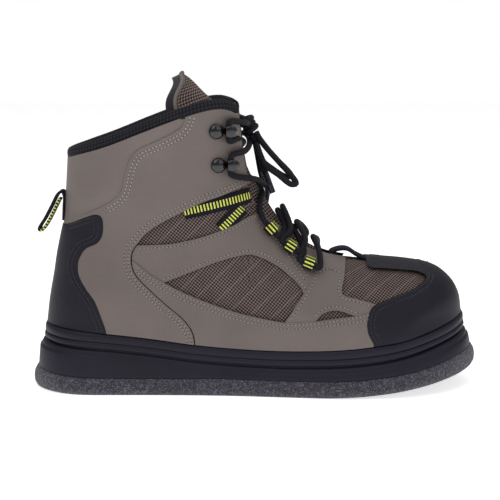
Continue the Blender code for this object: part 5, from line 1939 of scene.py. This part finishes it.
class BOOT_OT_stitching(bpy.types.Operator):
    """Sews the rows of stitches along the leather's edges."""

    bl_idname = "boot.stitching"
    bl_label = "Stitching"

    def execute(self, context):
        kinds = finishes(context.scene.boot_colours)
        sizes = context.scene.boot_sizes
        gap = sizes.row_gap

        def over(rank):
            return CLEAR + thickness(rank) + THREAD_LIFT

        def inside(line, low=-1.0, high=2.0):
            return [p for p in line if p[1] > upper_foot(p[0]) + 0.0015
                    and side_x(low) < p[0] < side_x(high)]

        for hand in (-1, 1):
            quarter = inside(side_run(QUARTER_EDGE, 200), high=0.50)
            seam = [p for p in side_run(ANKLE_SEAM, 120) if p[1] < side_z(0.955)]
            seam = [p for p in seam if p[0] > side_x(0.150)]
            mudguard = inside(side_run(MUDGUARD_EDGE, 160), 0.224, 0.768)
            counter = inside(side_run(COUNTER_EDGE, 140), 0.047)
            for shift in (EDGE_INSET, EDGE_INSET + gap):
                sew(beside(quarter, -shift), hand, over(4))
                sew(beside(seam, shift - EDGE_INSET), hand, over(4), "pale")
                sew(beside(mudguard, -shift), hand, over(3))
                sew(beside(counter, -shift), hand, over(5), "dark")
                sew(beside(inside(side_run(TOE_CAP_EDGE, 160)), -shift), hand, over(4), "dark")
                sew(beside(side_run(EYESTAY_ROW, 50), shift), hand, over(1))
            strap = inside(side_run(STRAP_EDGE, 80), 0.224, 0.53)
            sew(beside(strap, -STRAP_INSET), hand, over(1))
            sew(beside(side_run(BIG_WINDOW[:8], 90), WINDOW_INSET), hand, over(1))
            crescent = beside(side_run(SMALL_WINDOW[:8], 50), STRAP_INSET)
            sew([p for p in crescent if p[1] > side_z(0.138)], hand, over(2))
            rear = inside(side_run(FOREFOOT_REAR, 60), 0.578, 0.652)
            sew(beside(rear, -FOREFOOT_INSET), hand, over(2))
            front = inside(side_run(FOREFOOT_EDGE, 80)[8:], 0.70, 0.775)
            sew(beside(front, -FOREFOOT_INSET), hand, over(2))
            sew(side_run(FOREFOOT_TOP, 20), hand, over(2))
        # The hole beads carry the painted shade of the needle holes.
        for kind, slot in (("tan", "tan_leather"), ("pale", "tan_leather"),
                           ("dark", "black_synthetic"), ("hole", "black_synthetic")):
            stitches = stitch_mesh(f"{kind}_stitches", STITCH_ROWS[kind], sizes.stitch_thread)
            dress(stitches, kinds[f"{kind}_thread"], slot, angle=60)
        return {"FINISHED"}


class BOOT_PT_panel(bpy.types.Panel):
    """Lists the boot's pieces in the sidebar."""

    bl_label = "Wading boot"
    bl_idname = "BOOT_PT_panel"
    bl_space_type = "VIEW_3D"
    bl_region_type = "UI"
    bl_category = "Boot"

    def draw(self, context):
        layout = self.layout
        for group in (context.scene.boot_sizes, context.scene.boot_colours):
            for name in group.bl_rna.properties.keys():
                if name not in ("rna_type", "name"):
                    layout.prop(group, name)
        for operator in PIECES:
            layout.operator(operator.bl_idname)


PIECES = (
    BOOT_OT_stage,
    BOOT_OT_lace,
    BOOT_OT_sole,
    BOOT_OT_upper,
    BOOT_OT_leathers,
    BOOT_OT_caps,
    BOOT_OT_collar,
    BOOT_OT_tongue,
    BOOT_OT_webbing,
    BOOT_OT_hooks,
    BOOT_OT_stitching,
)
CLASSES = (BootSizes, BootColours, *PIECES, BOOT_PT_panel)


def register():
    for kind in CLASSES:
        bpy.utils.register_class(kind)
    bpy.types.Scene.boot_sizes = PointerProperty(type=BootSizes)
    bpy.types.Scene.boot_colours = PointerProperty(type=BootColours)


def unregister():
    del bpy.types.Scene.boot_colours
    del bpy.types.Scene.boot_sizes
    for kind in reversed(CLASSES):
        bpy.utils.unregister_class(kind)


def main():
    register()
    for operator in PIECES:
        group, name = operator.bl_idname.split(".")
        getattr(getattr(bpy.ops, group), name)()
    for sheet in SHEETS.values():
        bpy.data.objects.remove(sheet)


if __name__ == "__main__":
    main()
